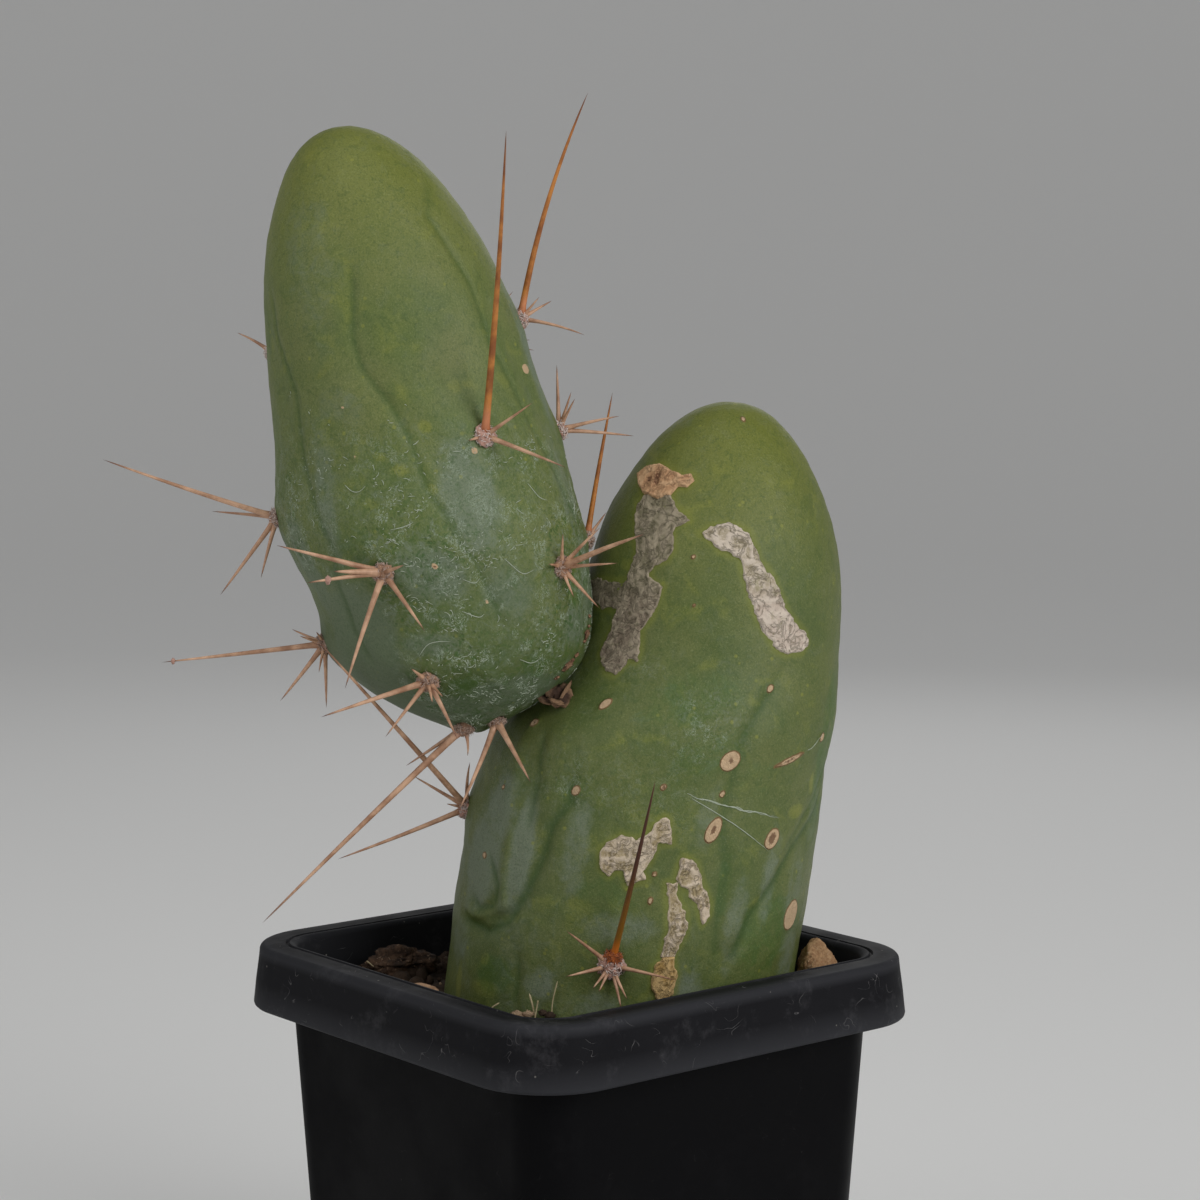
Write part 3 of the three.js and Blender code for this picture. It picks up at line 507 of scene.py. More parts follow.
def mark_distance(stem, outlines, turn, height):
    """Distance in millimetres outside the nearest of some closed outlines, negative inside one."""
    nearest = np.full(len(turn), MARK_REACH)
    for outline in outlines:
        corners = np.array(outline + outline[:1], float)
        middle = corners[:, 0].mean()
        places = places_from(stem, turn, height, middle)
        flat = places_from(stem, corners[:, 0], corners[:, 1], middle)
        distance = line_distance(places, flat)
        nearest = np.minimum(nearest, np.where(is_inside(places, flat), -distance, distance))
    return nearest


def patch_share(stem, patches, turn, height):
    """How strongly soft-edged patches of colour show at a place, from 0 to 1."""
    share = np.zeros(len(turn))
    for patch_turn, patch_height, half_across, half_up, strength in patches:
        places = places_from(stem, turn, height, patch_turn, patch_height)
        reach = np.linalg.norm(places / (half_across, half_up), axis=1)
        share = np.maximum(share, strength * smooth_step(1.55 - reach))
    return share


def spot_distance(stem, spots, turn, height, of_core):
    """Distance outside the nearest round mark, or outside the nearest dark middle of one."""
    nearest = np.full(len(turn), MARK_REACH)
    for spot_turn, spot_height, half_across, half_up, core, tilt in spots:
        size = core if of_core else 1
        if size > 0:
            places = places_from(stem, turn, height, spot_turn, spot_height)
            cos, sin = math.cos(math.radians(tilt)), math.sin(math.radians(tilt))
            places = places @ np.array([[cos, sin], [-sin, cos]])
            reach = np.linalg.norm(places / (half_across, half_up), axis=1)
            nearest = np.minimum(nearest, (reach - size) * min(half_across, half_up))
    return nearest


def fold_share(stem, fold, turn, height):
    """How much of a fold is at a place, from 0 to 1, fading out at the fold's ends."""
    line = np.array(fold["line"], float)
    middle = line[:, 0].mean()
    places = places_from(stem, turn, height, middle)
    corners = places_from(stem, *line.T, middle)
    fade = 1.0
    for end, following in ((0, 1), (-1, -2)):
        inward = corners[following] - corners[end]
        inward = inward / np.linalg.norm(inward)
        fade = fade * smooth_step((places - corners[end]) @ inward / 4 + 0.3)
    distance = line_distance(places, corners)
    return np.exp(-((distance / fold["width"]) ** 2)) * np.where(distance < FOLD_REACH, fade, 0)


def folded(stem, folds, turn, height):
    """How far the folds push the skin in or out, and the painted shade in their hollows, from 0 to 1."""
    lift = np.zeros(len(turn))
    dark = np.zeros(len(turn))
    for fold in folds:
        share = fold_share(stem, fold, turn, height)
        lift -= 0.7 * fold["depth"] * share
        # Painted shade: a groove darkens in step with its depth, while a ridge gets none.
        dark = np.maximum(dark, share ** 2 * min(max(fold["depth"] * 2.4, 0), 1))
    # Painted shade in the solids' broad grooves on the sides and back.
    for groove in stem["grooves"][FRONT_GROOVES:]:
        dark = np.maximum(dark, 0.6 * groove_share(stem, groove, turn, height) ** 4)
    return lift, dark * end_share(stem, height)


def areole_lift(stem, areoles, turn, height):
    """The low swelling that each areole sits on, and the dimple under its cushion."""
    lift = np.zeros(len(turn))
    for areole in areoles:
        away = np.linalg.norm(places_from(stem, turn, height, areole["turn"], areole["height"]), axis=1)
        lift += SWELLING_RISE * np.exp(-((away / SWELLING_REACH) ** 2))
        lift -= DIMPLE_DEPTH * smooth_step(1.2 - away / areole["radius"])
    return lift


def skin_relief(points, worn):
    """Small natural unevenness of a skin, with shallow pores where it is worn."""
    wide = 0.14 * noise(points, 6.5, 3) + 0.06 * noise(points, 3, 5)
    fine = 0.04 * noise(points, 1.3, 7) + 0.02 * noise(points, 0.8, 9)
    return wide + fine + worn * (0.09 * noise(points, 1.6, 13) + 0.07 * noise(points, 0.9, 15))


def branch_wear(turn, height, points):
    """How worn and pored the branch's skin is, from 0 to 1: most in patches low on its front."""
    side = wrap_turn(turn)
    patches = ramp(noise(points, 7, 21), -0.5, 0.5)
    smooth_cheek = ramp(side, -20, -32) * ramp(height, 122, 116)
    low = ramp(height, 148, 122)
    return low * (0.4 + 0.6 * patches) * (1 - smooth_cheek) * ramp(np.abs(side), 120, 84)


def main_wear(turn, height, points):
    """How worn and pored the main stem's skin is: a little, in patches at middle height."""
    patches = ramp(noise(points, 9, 23), -0.5, 0.5)
    return 0.4 * patches * ramp(height, 112, 104) * ramp(height, 78, 90)


def branch_film(height, points):
    """The even part of the branch's bloom, thicker low down."""
    return 0.16 * ramp(height, 150, 122)


def main_film(height, points):
    """The streaky part of the main stem's bloom, thicker low down."""
    streaks = ramp(noise(points * (1, 1, 0.35), 6, 25), -0.2, 0.5)
    return 0.25 * streaks * ramp(height, 104, 80)


class Skin:
    """A stem with all that its finished skin carries. Heights and depths are in millimetres."""

    def __init__(self, stem, front, back, folds, spots, wear, film,
                 spot_rise, spot_edge, core_depth, **patches):
        self.stem, self.front = stem, front
        self.back = [{"turn": turn, "height": height, "radius": BACK_AREOLE_RADIUS} for turn, height in back]
        self.folds, self.spots, self.wear, self.film = folds, spots, wear, film
        self.spot_rise, self.spot_edge, self.core_depth = spot_rise, spot_edge, core_depth
        self.patches = patches

    def spot_distances(self, turn, height):
        """Distances outside the nearest round mark, and outside the nearest dark middle of one."""
        return [spot_distance(self.stem, self.spots, turn, height, of_core) for of_core in (False, True)]

    def lift(self, turn, height, points):
        """How far the finished skin stands out from the stem's plain shape."""
        lift = folded(self.stem, self.folds, turn, height)[0]
        lift += skin_relief(points, self.wear(turn, height, points))
        lift += areole_lift(self.stem, self.front + self.back, turn, height)
        spot, core = self.spot_distances(turn, height)
        lift += self.spot_rise * smooth_step(1 - spot / self.spot_edge)
        return lift - self.core_depth * smooth_step(0.5 - core / 0.2)

    def places(self, turn, height, above=0.0):
        """Places on the finished skin, or a little above it, and the directions out of it."""
        points = stem_points(self.stem, turn, height)
        normals = stem_normals(self.stem, turn, height)
        lift = self.lift(turn, height, points) + above
        return points + normals * lift[:, None], normals

    def numbers(self, turn, height, points, scars):
        """The numbers that the skin's look needs at each vertex."""
        numbers = {}
        for key, patches in self.patches.items():
            numbers[key] = patch_share(self.stem, patches, turn, height)
        numbers["bloom"] = np.clip(0.1 + self.film(height, points) + numbers["bloom"], 0, 1.1)
        numbers["worn"] = self.wear(turn, height, points)
        # The painted shade in the folds' hollows.
        numbers["fold"] = folded(self.stem, self.folds, turn, height)[1]
        numbers["spot"], numbers["core"] = self.spot_distances(turn, height)
        if scars:
            numbers["scar"] = mark_distance(self.stem, [scar["outline"] for scar in scars], turn, height)
        return numbers


def ring_faces(sides, rings, inward=False):
    """Four-sided faces between closed rings of vertices that are numbered ring by ring."""
    faces = []
    for low in range(0, (rings - 1) * sides, sides):
        high = low + sides
        for side in range(sides):
            following = (side + 1) % sides
            face = (low + side, low + following, high + following, high + side)
            faces.append(face[::-1] if inward else face)
    return faces


def fan_faces(start, sides, pole, inward=False):
    """Three-sided faces between the ring of vertices from start on and a pole."""
    faces = []
    for side in range(sides):
        pair = start + side, start + (side + 1) % sides
        faces.append((pair[::-1] if inward else pair) + (pole,))
    return faces


def ring_heights(stem, low, count):
    """Heights of rings evenly spaced along the skin, from a low height up to the tip."""
    fine = (1 - np.cos(np.linspace(0, math.pi, 4000))) / 2
    heights = low + (stem["top"] - low) * fine
    steps = np.hypot(np.diff(heights), np.diff(half_width(stem, heights)))
    along = np.concatenate([[0], np.cumsum(steps)])
    return np.interp(np.linspace(0, along[-1], count + 2), along, heights)[1:-1]


def skin_grid(stem, low):
    """The turn and height of every vertex of a stem's skin, with a pole last at each end, and its faces."""
    front = np.linspace(-FRONT_TURN, FRONT_TURN, FRONT_COLUMNS, endpoint=False)
    back = np.linspace(FRONT_TURN, 360 - FRONT_TURN, BACK_COLUMNS, endpoint=False)
    turns = np.concatenate([front, back])
    heights = ring_heights(stem, low, SKIN_RINGS)
    columns, rings = len(turns), len(heights)
    turn = np.append(np.tile(turns, rings), [0, 0])
    height = np.append(np.repeat(heights, columns), [low, stem["top"]])
    poles = rings * columns, rings * columns + 1
    faces = ring_faces(columns, rings) + fan_faces(0, columns, poles[0], inward=True)
    faces += fan_faces((rings - 1) * columns, columns, poles[1])
    return turn, height, faces


def add_mesh(name, points, faces, materials, attributes=None):
    """A smooth-shaded mesh from world points, with one number for each vertex under each attribute name."""
    mesh = bpy.data.meshes.new(name)
    mesh.from_pydata(np.asarray(points).tolist(), [], faces)
    for key, values in (attributes or {}).items():
        layer = mesh.attributes.new(key, "FLOAT", "POINT")
        layer.data.foreach_set("value", np.asarray(values, np.float32))
    for material in materials:
        mesh.materials.append(material)
    mesh.shade_smooth()
    mesh.update()
    piece = bpy.data.objects.new(name, mesh)
    bpy.context.scene.collection.objects.link(piece)
    return piece


def settle(piece, slot, *replaced):
    """Fixes a piece to the part's one body, and hides the solids that it replaces."""
    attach(piece, "root")
    if replaced:
        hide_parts(*replaced)


class Look:
    """A material whose nodes are added one at a time. Lengths in its patterns are in millimetres."""

    def __init__(self, name, **values):
        self.material = bpy.data.materials.new(name)
        self.material.use_nodes = True
        self.tree = self.material.node_tree
        self.shader = self.tree.nodes["Principled BSDF"]
        for key, value in values.items():
            self.shader.inputs[key.replace("_", " ")].default_value = value
        place = self.add("TexCoord", {}).outputs["Object"]
        self.place = self.add("VectorMath", {0: place, 1: (1 / MM,) * 3}, operation="MULTIPLY").outputs[0]

    def feed(self, socket, value):
        if isinstance(value, bpy.types.NodeSocket):
            self.tree.links.new(value, socket)
        else:
            socket.default_value = value

    def add(self, kind, inputs, **settings):
        """Adds a node, sets it up and feeds its inputs."""
        node = self.tree.nodes.new("ShaderNode" + kind)
        for key, value in settings.items():
            setattr(node, key, value)
        for socket, value in inputs.items():
            self.feed(node.inputs[socket], value)
        return node

    def math(self, operation, first, second=0.0):
        return self.add("Math", {0: first, 1: second}, operation=operation).outputs[0]

    def total(self, first, *others):
        for other in others:
            first = self.math("ADD", first, other)
        return first

    def about_zero(self, value, middle=0.5):
        """How far a value is above a middle."""
        return self.math("SUBTRACT", value, middle)

    def off_middle(self, value, middle=0.5):
        """How far a value is from a middle, to either side."""
        return self.math("ABSOLUTE", self.about_zero(value, middle))

    def number(self, name):
        """A number that the mesh gives at each vertex."""
        return self.add("Attribute", {}, attribute_name=name).outputs["Fac"]

    def along(self, axis):
        return self.add("SeparateXYZ", {0: self.place}).outputs[axis]

    def noise(self, lump, detail=2.0, roughness=0.5, wander=0.0):
        """Cloudy noise from 0 to 1 with lumps of about the given size."""
        inputs = {"Vector": self.place, "Scale": 1 / lump, "Detail": detail, "Roughness": roughness}
        return self.add("TexNoise", inputs | {"Distortion": wander}).outputs["Fac"]

    def cells(self, size):
        """Distance from the middle of the nearest of many scattered cells, as a share of their size."""
        return self.add("TexVoronoi", {"Vector": self.place, "Scale": 1 / size}).outputs["Distance"]

    def band(self, value, start, stop):
        """A share that rises smoothly from 0 at start to 1 at stop."""
        inputs = {"Value": value, "From Min": start, "From Max": stop}
        return self.add("MapRange", inputs, interpolation_type="SMOOTHSTEP").outputs["Result"]

    def share(self, amount, first, *others):
        """A product of shares, at most the given amount."""
        for other in others:
            first = self.math("MULTIPLY", first, other)
        return self.math("MULTIPLY", first, amount)

    def blend(self, share, first, second):
        return self.add("Mix", {0: share, 6: first, 7: second}, data_type="RGBA").outputs[2]

    def level(self, share, first, second):
        return self.add("Mix", {0: share, 2: first, 3: second}, data_type="FLOAT").outputs[0]

    def stain(self, colour, paint, amount, *shares):
        """A colour with paint over it, as strong as a product of shares and at most the given amount."""
        return self.blend(self.share(amount, *shares), colour, paint)

    def finish(self, colour, roughness, height, depth):
        """Sets the colour, roughness and relief, where depth is the relief's height in millimetres."""
        self.feed(self.shader.inputs["Base Color"], colour)
        self.feed(self.shader.inputs["Roughness"], roughness)
        bump = self.add("Bump", {"Distance": depth * MM, "Height": height})
        self.feed(self.shader.inputs["Normal"], bump.outputs["Normal"])
        return self.material


def skin_base(look, tip, body, shade, bloom, tip_from, tip_to, ragged_share):
    """A cactus skin's green, with a yellower tip, mottles, painted shade in its folds and a grey-blue waxy
    bloom.
    """
    yellow, deep = srgb(138, 140, 58), srgb(52, 78, 32)
    colour = look.blend(look.band(look.noise(9, 3), 0.3, 0.7), body, shade)
    colour = look.blend(look.band(look.along("Z"), tip_from, tip_to), colour, tip)
    ragged = look.about_zero(look.noise(2.4, 6, 0.72, wander=0.7))
    green = look.band(look.total(look.number("green"), ragged), 0.3, 0.75)
    colour = look.stain(colour, srgb(68, 96, 38), 0.75, green)
    blotch = look.band(look.noise(4.5, 3, wander=0.6), 0.55, 0.75)
    colour = look.stain(colour, yellow, 0.3, blotch)
    mottle = look.noise(1.7, 5, 0.7, wander=1.2)
    colour = look.stain(colour, deep, 0.3, look.band(mottle, 0.5, 0.66))
    spread = look.share(ragged_share, ragged)
    veil = look.band(look.total(look.number("bloom"), spread), 0.1, 1)
    colour = look.stain(colour, bloom, 0.85, veil)
    gold = look.band(look.total(look.number("yellow"), ragged), 0.2, 1)
    colour = look.stain(colour, srgb(142, 144, 60), 0.45, gold)
    # Painted shade in the folds' hollows.
    colour = look.stain(colour, deep, 0.7, look.number("fold"))
    grain = look.noise(0.26, 3, 0.8)
    colour = look.stain(colour, deep, 0.4, look.band(grain, 0.5, 0.66))
    colour = look.stain(colour, srgb(150, 158, 110), 0.26, look.band(grain, 0.46, 0.3))
    dash = look.noise(0.5, 2, 0.6, wander=1)
    colour = look.stain(colour, srgb(48, 68, 32), 0.35, look.band(dash, 0.6, 0.72))
    freckle, freckled = look.band(look.cells(2.3), 0.16, 0.06), look.band(look.noise(12, 1), 0.42, 0.56)
    colour = look.stain(colour, yellow, 0.5, freckle, freckled)
    return colour, look.total(look.share(0.5, mottle), look.share(0.35, grain))


def pored(look, colour, bloom):
    """Worn skin: small dark green pores in soft grey-blue cloudy patches, with thin white crinkles."""
    worn = look.number("worn")
    cloud = look.noise(1.2, 5, 0.75, wander=1.1)
    colour = look.stain(colour, bloom, 0.75, worn, look.band(cloud, 0.52, 0.62))
    colour = look.stain(colour, srgb(56, 86, 34), 0.85, worn, look.band(cloud, 0.49, 0.38))
    pore = look.band(look.cells(0.95), 0.28, 0.12)
    colour = look.stain(colour, srgb(50, 78, 32), 0.6, worn, pore)
    curl = look.off_middle(look.noise(1, 3, 0.65, wander=1.8))
    rubbed = look.band(look.noise(2.3, 3, 0.6), 0.5, 0.6)
    crinkle = look.band(curl, 0.035, 0.01)
    colour = look.stain(colour, srgb(156, 168, 150), 0.7, crinkle, rubbed, look.band(worn, 0.1, 0.6))
    return colour, look.math("SUBTRACT", look.share(0.7, worn, cloud), look.share(0.5, worn, pore))


def ragged_distance(look, name, raggedness):
    """Distance outside a mark whose edge is ragged."""
    stray = look.about_zero(look.noise(1.2, 5, 0.75))
    return look.total(look.share(2 * raggedness, stray), look.number(name))


def branch_skin():
    bloom = srgb(108, 120, 100)
    look = Look("branch_skin_look", Specular_IOR_Level=0.3)
    colour, relief = skin_base(
        look, tip=srgb(110, 116, 52), body=srgb(106, 114, 64), shade=srgb(90, 105, 54),
        bloom=bloom, tip_from=150, tip_to=177, ragged_share=1.4)
    # Painted shade: the branch's skin turns darker towards its bottom, which faces down and away from the
    # lamps.
    colour = look.stain(colour, srgb(54, 70, 34), 0.42, look.band(look.along("Z"), 130, 106))
    colour, pores = pored(look, colour, bloom)
    spot = look.band(ragged_distance(look, "spot", 0.12), 0.05, -0.05)
    colour = look.blend(spot, colour, srgb(184, 156, 122))
    colour = look.blend(look.band(look.number("core"), 0.05, -0.05), colour, srgb(112, 76, 52))
    roughness = look.level(look.number("bloom"), 0.45, 0.62)
    return look.finish(colour, roughness, look.total(relief, pores), 0.16)


def main_skin():
    bloom = srgb(114, 124, 106)
    look = Look("main_skin_look", Specular_IOR_Level=0.3)
    colour, relief = skin_base(
        look, tip=srgb(106, 112, 46), body=srgb(98, 106, 58), shade=srgb(84, 97, 50),
        bloom=bloom, tip_from=112, tip_to=140, ragged_share=1.5)
    colour, pores = pored(look, colour, bloom)
    halo = look.band(look.number("scar"), 1.1, 0.1)
    colour = look.stain(colour, srgb(128, 132, 52), 0.4, halo)
    fine = look.noise(0.5, 4, 0.75, wander=0.4)
    outside = ragged_distance(look, "spot", 0.14)
    spot = look.band(outside, 0.05, -0.05)
    colour = look.blend(spot, colour, look.blend(fine, srgb(176, 144, 110), srgb(216, 190, 156)))
    rim = look.band(look.math("ABSOLUTE", outside), 0.14, 0.02)
    colour = look.stain(colour, srgb(122, 92, 56), 0.85, rim)
    core = look.band(look.total(look.number("core"), look.about_zero(fine)), 0.1, -0.06)
    colour = look.stain(colour, srgb(106, 76, 54), 0.8, core)
    roughness = look.level(spot, look.level(look.number("bloom"), 0.42, 0.6), 0.85)
    return look.finish(colour, roughness, look.total(relief, look.share(2, fine, spot), pores), 0.18)


def scar_look(name, contrast, valley, slope, crest, window, low_slope=None):
    """Corky skin, coloured by its relief: pale crinkled crests and darker valleys, partly the cork's own
    tones and partly painted highlight and painted shade, and windows of old skin.
    """
    look = Look(name, Specular_IOR_Level=0.2)
    fine = look.noise(0.5, 4, 0.7, wander=0.5)
    crinkle = look.total(look.number("crest"), look.share(0.9, look.about_zero(fine)))
    if low_slope:
        slope = look.blend(look.band(look.along("Z"), 119, 114), slope, low_slope)
    # Painted shade and highlight, partly the cork's own tones: the colour follows the crinkles' height,
    # darker in the valleys and paler on the crests.
    colour = look.blend(look.band(crinkle, 0.05, 0.4), look.blend(contrast, slope, valley), slope)
    colour = look.stain(colour, valley, 0.9, look.band(crinkle, -0.1, -0.3))
    colour = look.stain(colour, crest, 0.8, look.band(crinkle, 0.5, 0.9))
    old = look.band(look.noise(1.8, 4, 0.7, wander=0.8), 0.58, 0.66)
    colour = look.stain(colour, window, 0.7 * contrast, old)
    vein = look.off_middle(look.noise(1.1, 3, 0.6, wander=1.4))
    colour = look.stain(colour, crest, 0.5, look.band(vein, 0.03, 0.008))
    # Painted shade: thin dark cracks in the valleys' colour.
    crack = look.off_middle(look.noise(1.9, 4, 0.6, wander=1.2), 0.47)
    colour = look.stain(colour, valley, 0.8 * contrast, look.band(crack, 0.016, 0.004))
    colour = look.stain(colour, crest, 0.5, look.band(look.number("rim"), 0.32, 0.08))
    return look.finish(colour, 0.85, look.total(fine, look.band(crack, 0.01, 0.04)), 0.16)


def spine_look():
    """Horn: pinkish tan, orange or dark brown, streaked along its length, with a dark red-brown tip."""
    look = Look("spine_look", Specular_IOR_Level=0.4)
    tone, along = look.number("tone"), look.number("along")
    streak = look.noise(2.6, 4, 0.6)
    streaked = look.band(streak, 0.3, 0.7)
    tan = look.blend(streaked, srgb(204, 164, 134), srgb(150, 110, 84))
    orange = look.blend(streaked, srgb(186, 120, 54), srgb(132, 76, 34))
    dark = look.blend(look.band(along, 0.15, 0.6), srgb(124, 84, 22), srgb(68, 34, 16))
    colour = look.blend(look.band(tone, 0.3, 0.5), tan, orange)
    colour = look.blend(look.band(tone, 0.7, 0.9), colour, dark)
    colour = look.stain(colour, srgb(82, 40, 28), 0.85, look.band(along, 0.8, 1))
    foot = look.band(look.math("SUBTRACT", along, look.share(0.1, tone)), 0.07, 0)
    foot_colour = look.blend(tone, srgb(204, 158, 144), srgb(206, 110, 36))
    colour = look.stain(colour, foot_colour, 0.6, foot)
    return look.finish(colour, look.level(streak, 0.35, 0.55), streak, 0.05)


def felt_look():
    """Felt and wool: pinkish brown at the foot and white at the tips, orange round a dark spine's foot."""
    look = Look("felt_look", Specular_IOR_Level=0.15, Sheen_Weight=0.25)
    fine = look.noise(0.22, 3, 0.7)
    tone = look.number("tone")
    young = look.blend(fine, srgb(150, 106, 92), srgb(206, 166, 150))
    old = look.blend(fine, srgb(122, 88, 68), srgb(184, 146, 118))
    wool = look.blend(look.band(tone, -0.6, 0), old, young)
    clean = look.level(look.band(tone, -0.8, 0), 0.3, 0.95)
    whitened = look.math("MULTIPLY", clean, look.band(look.number("along"), 0.1, 0.8))
    wool = look.blend(whitened, wool, srgb(224, 208, 200))
    orange = look.blend(fine, srgb(120, 58, 20), srgb(190, 104, 46))
    colour = look.blend(look.band(tone, 0.3, 1), wool, orange)
    return look.finish(colour, 0.9, fine, 0.15)


def strand_look(name, lump, dark, light, roughness):
    """Thin dry strands in two cloudy colours."""
    look = Look(name, Specular_IOR_Level=0.3)
    colour = look.blend(look.noise(lump, 3, 0.7), dark, light)
    return look.finish(colour, roughness, look.noise(0.2, 2), 0.03)


def plastic_look():
    """Matt black plastic, with dust, smudges and fine scratches on the lip that hands touch, a lip painted
    lighter than the body as painted light from above, and painted highlights along its edges.
    """
    look = Look("pot_look", Specular_IOR_Level=0.05)
    on_lip = look.level(look.band(look.along("Z"), 55.5, 56.5), 0.06, 1)
    smudge = look.noise(16, 4, 0.6)
    # Painted light: the lip is given a lighter colour than the body, as lit from above, and the body under it
    # is kept darker, as in its shade.
    body = look.blend(smudge, srgb(5, 5, 6), srgb(9, 9, 11))
    colour = look.blend(on_lip, body, look.blend(smudge, srgb(19, 19, 21), srgb(31, 31, 34)))
    dust = look.band(look.noise(7, 6, 0.75), 0.52, 0.75)
    colour = look.stain(colour, srgb(84, 83, 86), 0.3, on_lip, dust)
    curl = look.off_middle(look.noise(6, 1, wander=2.2))
    scratched = look.band(look.noise(3.1, 2), 0.55, 0.66)
    scratch = look.share(0.5, on_lip, look.band(curl, 0.006, 0.002), scratched)
    colour = look.blend(scratch, colour, srgb(126, 124, 124))
    mote, strewn = look.band(look.cells(2.6), 0.07, 0.03), look.band(look.noise(5, 2), 0.5, 0.6)
    colour = look.stain(colour, srgb(150, 146, 140), 0.7, on_lip, mote, strewn)
    # Painted highlights along the pot's rounded edges, the rim and the hem.
    colour = look.stain(colour, srgb(88, 89, 94), 0.4, look.number("edge"))
    roughness = look.level(look.band(smudge, 0.3, 0.7), 0.42, 0.62)
    relief = look.total(look.share(0.4, look.noise(0.8, 3)), look.share(1.2, scratch))
    return look.finish(colour, roughness, relief, 0.03)


def soil_look():
    """Dark damp potting mix, with brown fibres and pale grit."""
    look = Look("soil_look", Specular_IOR_Level=0.3)
    clod = look.blend(look.noise(1.2, 5, 0.7), srgb(34, 27, 22), srgb(78, 60, 46))
    grit = look.blend(look.noise(0.8, 4), srgb(118, 98, 78), srgb(178, 152, 124))
    colour = look.blend(look.band(look.number("tone"), 0.8, 0.86), clod, grit)
    return look.finish(colour, 0.92, look.noise(0.4, 5, 0.7), 0.3)


def crumbly_look(name, dark, light, glints, lump):
    """Broken stone or bark: cloudy colour, dark pits and pale painted glints."""
    look = Look(name, Specular_IOR_Level=0.25)
    colour = look.blend(look.band(look.noise(lump, 5, 0.7), 0.32, 0.68), dark, light)
    colour = look.stain(colour, dark, 0.6, look.band(look.cells(0.7), 0.2, 0.08))
    # Painted highlights: small pale glints scattered over the skin.
    colour = look.stain(colour, glints, 0.6, look.band(look.noise(0.5, 3), 0.6, 0.72))
    return look.finish(colour, 0.9, look.noise(0.5, 5, 0.75), 0.35)


def husk_look():
    """A dry bract: dark brown and papery, with a pale frayed edge."""
    look = Look("husk_look", Specular_IOR_Level=0.3)
    colour = look.blend(look.noise(0.7, 4, 0.7), srgb(34, 24, 18), srgb(78, 54, 40))
    colour = look.stain(colour, srgb(150, 118, 90), 0.7, look.number("along"))
    return look.finish(colour, 0.8, look.noise(0.4, 4), 0.2)


def build_skin(name, skin, low_end, scars, material, slot, node):
    """A stem's finished skin as one piece."""
    turn, height, faces = skin_grid(skin.stem, low_end)
    plain = stem_points(skin.stem, turn, height)
    points, _ = skin.places(turn, height)
    points[-2:] = plain[-2:]
    numbers = skin.numbers(turn, height, plain, scars)
    settle(add_mesh(name, to_world(points), faces, [material], numbers), slot, node)


def ball(centre, radii, sides, rings, jitter=0.0, seed=1):
    """A closed ellipsoid's points and faces, in millimetres, with a jittered skin."""
    polar = np.linspace(0, math.pi, rings + 1)[1:-1]
    around = np.arange(sides) * 2 * math.pi / sides
    grid_polar, grid_around = np.meshgrid(polar, around, indexing="ij")
    unit = np.stack([np.sin(grid_polar) * np.cos(grid_around), np.sin(grid_polar) * np.sin(grid_around),
                     np.cos(grid_polar)], axis=-1).reshape(-1, 3)
    unit = np.vstack([unit, [(0, 0, 1), (0, 0, -1)]])
    size = 1 + jitter * noise(unit * 3, 1, seed) + 0.5 * jitter * noise(unit * 8, 1, seed + 1)
    top, bottom = len(unit) - 2, len(unit) - 1
    faces = ring_faces(sides, len(polar), inward=True) + fan_faces(0, sides, top)
    faces += fan_faces((len(polar) - 1) * sides, sides, bottom, inward=True)
    return unit * size[:, None] * radii + centre, faces


def tapered(path, radii, sides):
    """A closed tube of points and faces along a path whose last place is its pointed tip."""
    tangents = np.gradient(path, axis=0)
    tangents /= np.linalg.norm(tangents, axis=1)[:, None]
    helper = np.array((0.31, 0.17, 0.94)) if abs(tangents[0][2]) < 0.9 else np.array((1.0, 0.1, 0))
    first = np.cross(tangents, helper)
    first /= np.linalg.norm(first, axis=1)[:, None]
    second = np.cross(tangents, first)
    angle = np.arange(sides) * 2 * math.pi / sides
    rings = (path[:-1, None] + radii[:-1, None, None] * (
        np.cos(angle)[None, :, None] * first[:-1, None] + np.sin(angle)[None, :, None] * second[:-1, None]))
    points = np.vstack([rings.reshape(-1, 3), path[:1], path[-1:]])
    count = len(path) - 1
    foot, tip = len(points) - 2, len(points) - 1
    faces = ring_faces(sides, count) + fan_faces(0, sides, foot, inward=True)
    faces += fan_faces((count - 1) * sides, sides, tip)
    return points, faces


class Cluster:
    """Points, faces and numbers of several closed forms that make one piece."""

    def __init__(self):
        self.points, self.faces, self.slots = [], [], []
        self.along, self.tone = [], []
        self.count = 0

    def add(self, points, faces, slot=0, along=0, tone=0):
        self.faces += [tuple(index + self.count for index in face) for face in faces]
        self.slots += [slot] * len(faces)
        self.points.append(points)
        self.along.append(np.broadcast_to(along, len(points)))
        self.tone.append(np.full(len(points), float(tone)))
        self.count += len(points)

    def piece(self, name, materials):
        attributes = {"along": np.concatenate(self.along), "tone": np.concatenate(self.tone)}
        piece = add_mesh(name, to_world(np.vstack(self.points)), self.faces, materials, attributes)
        piece.data.polygons.foreach_set("material_index", self.slots)
        return piece


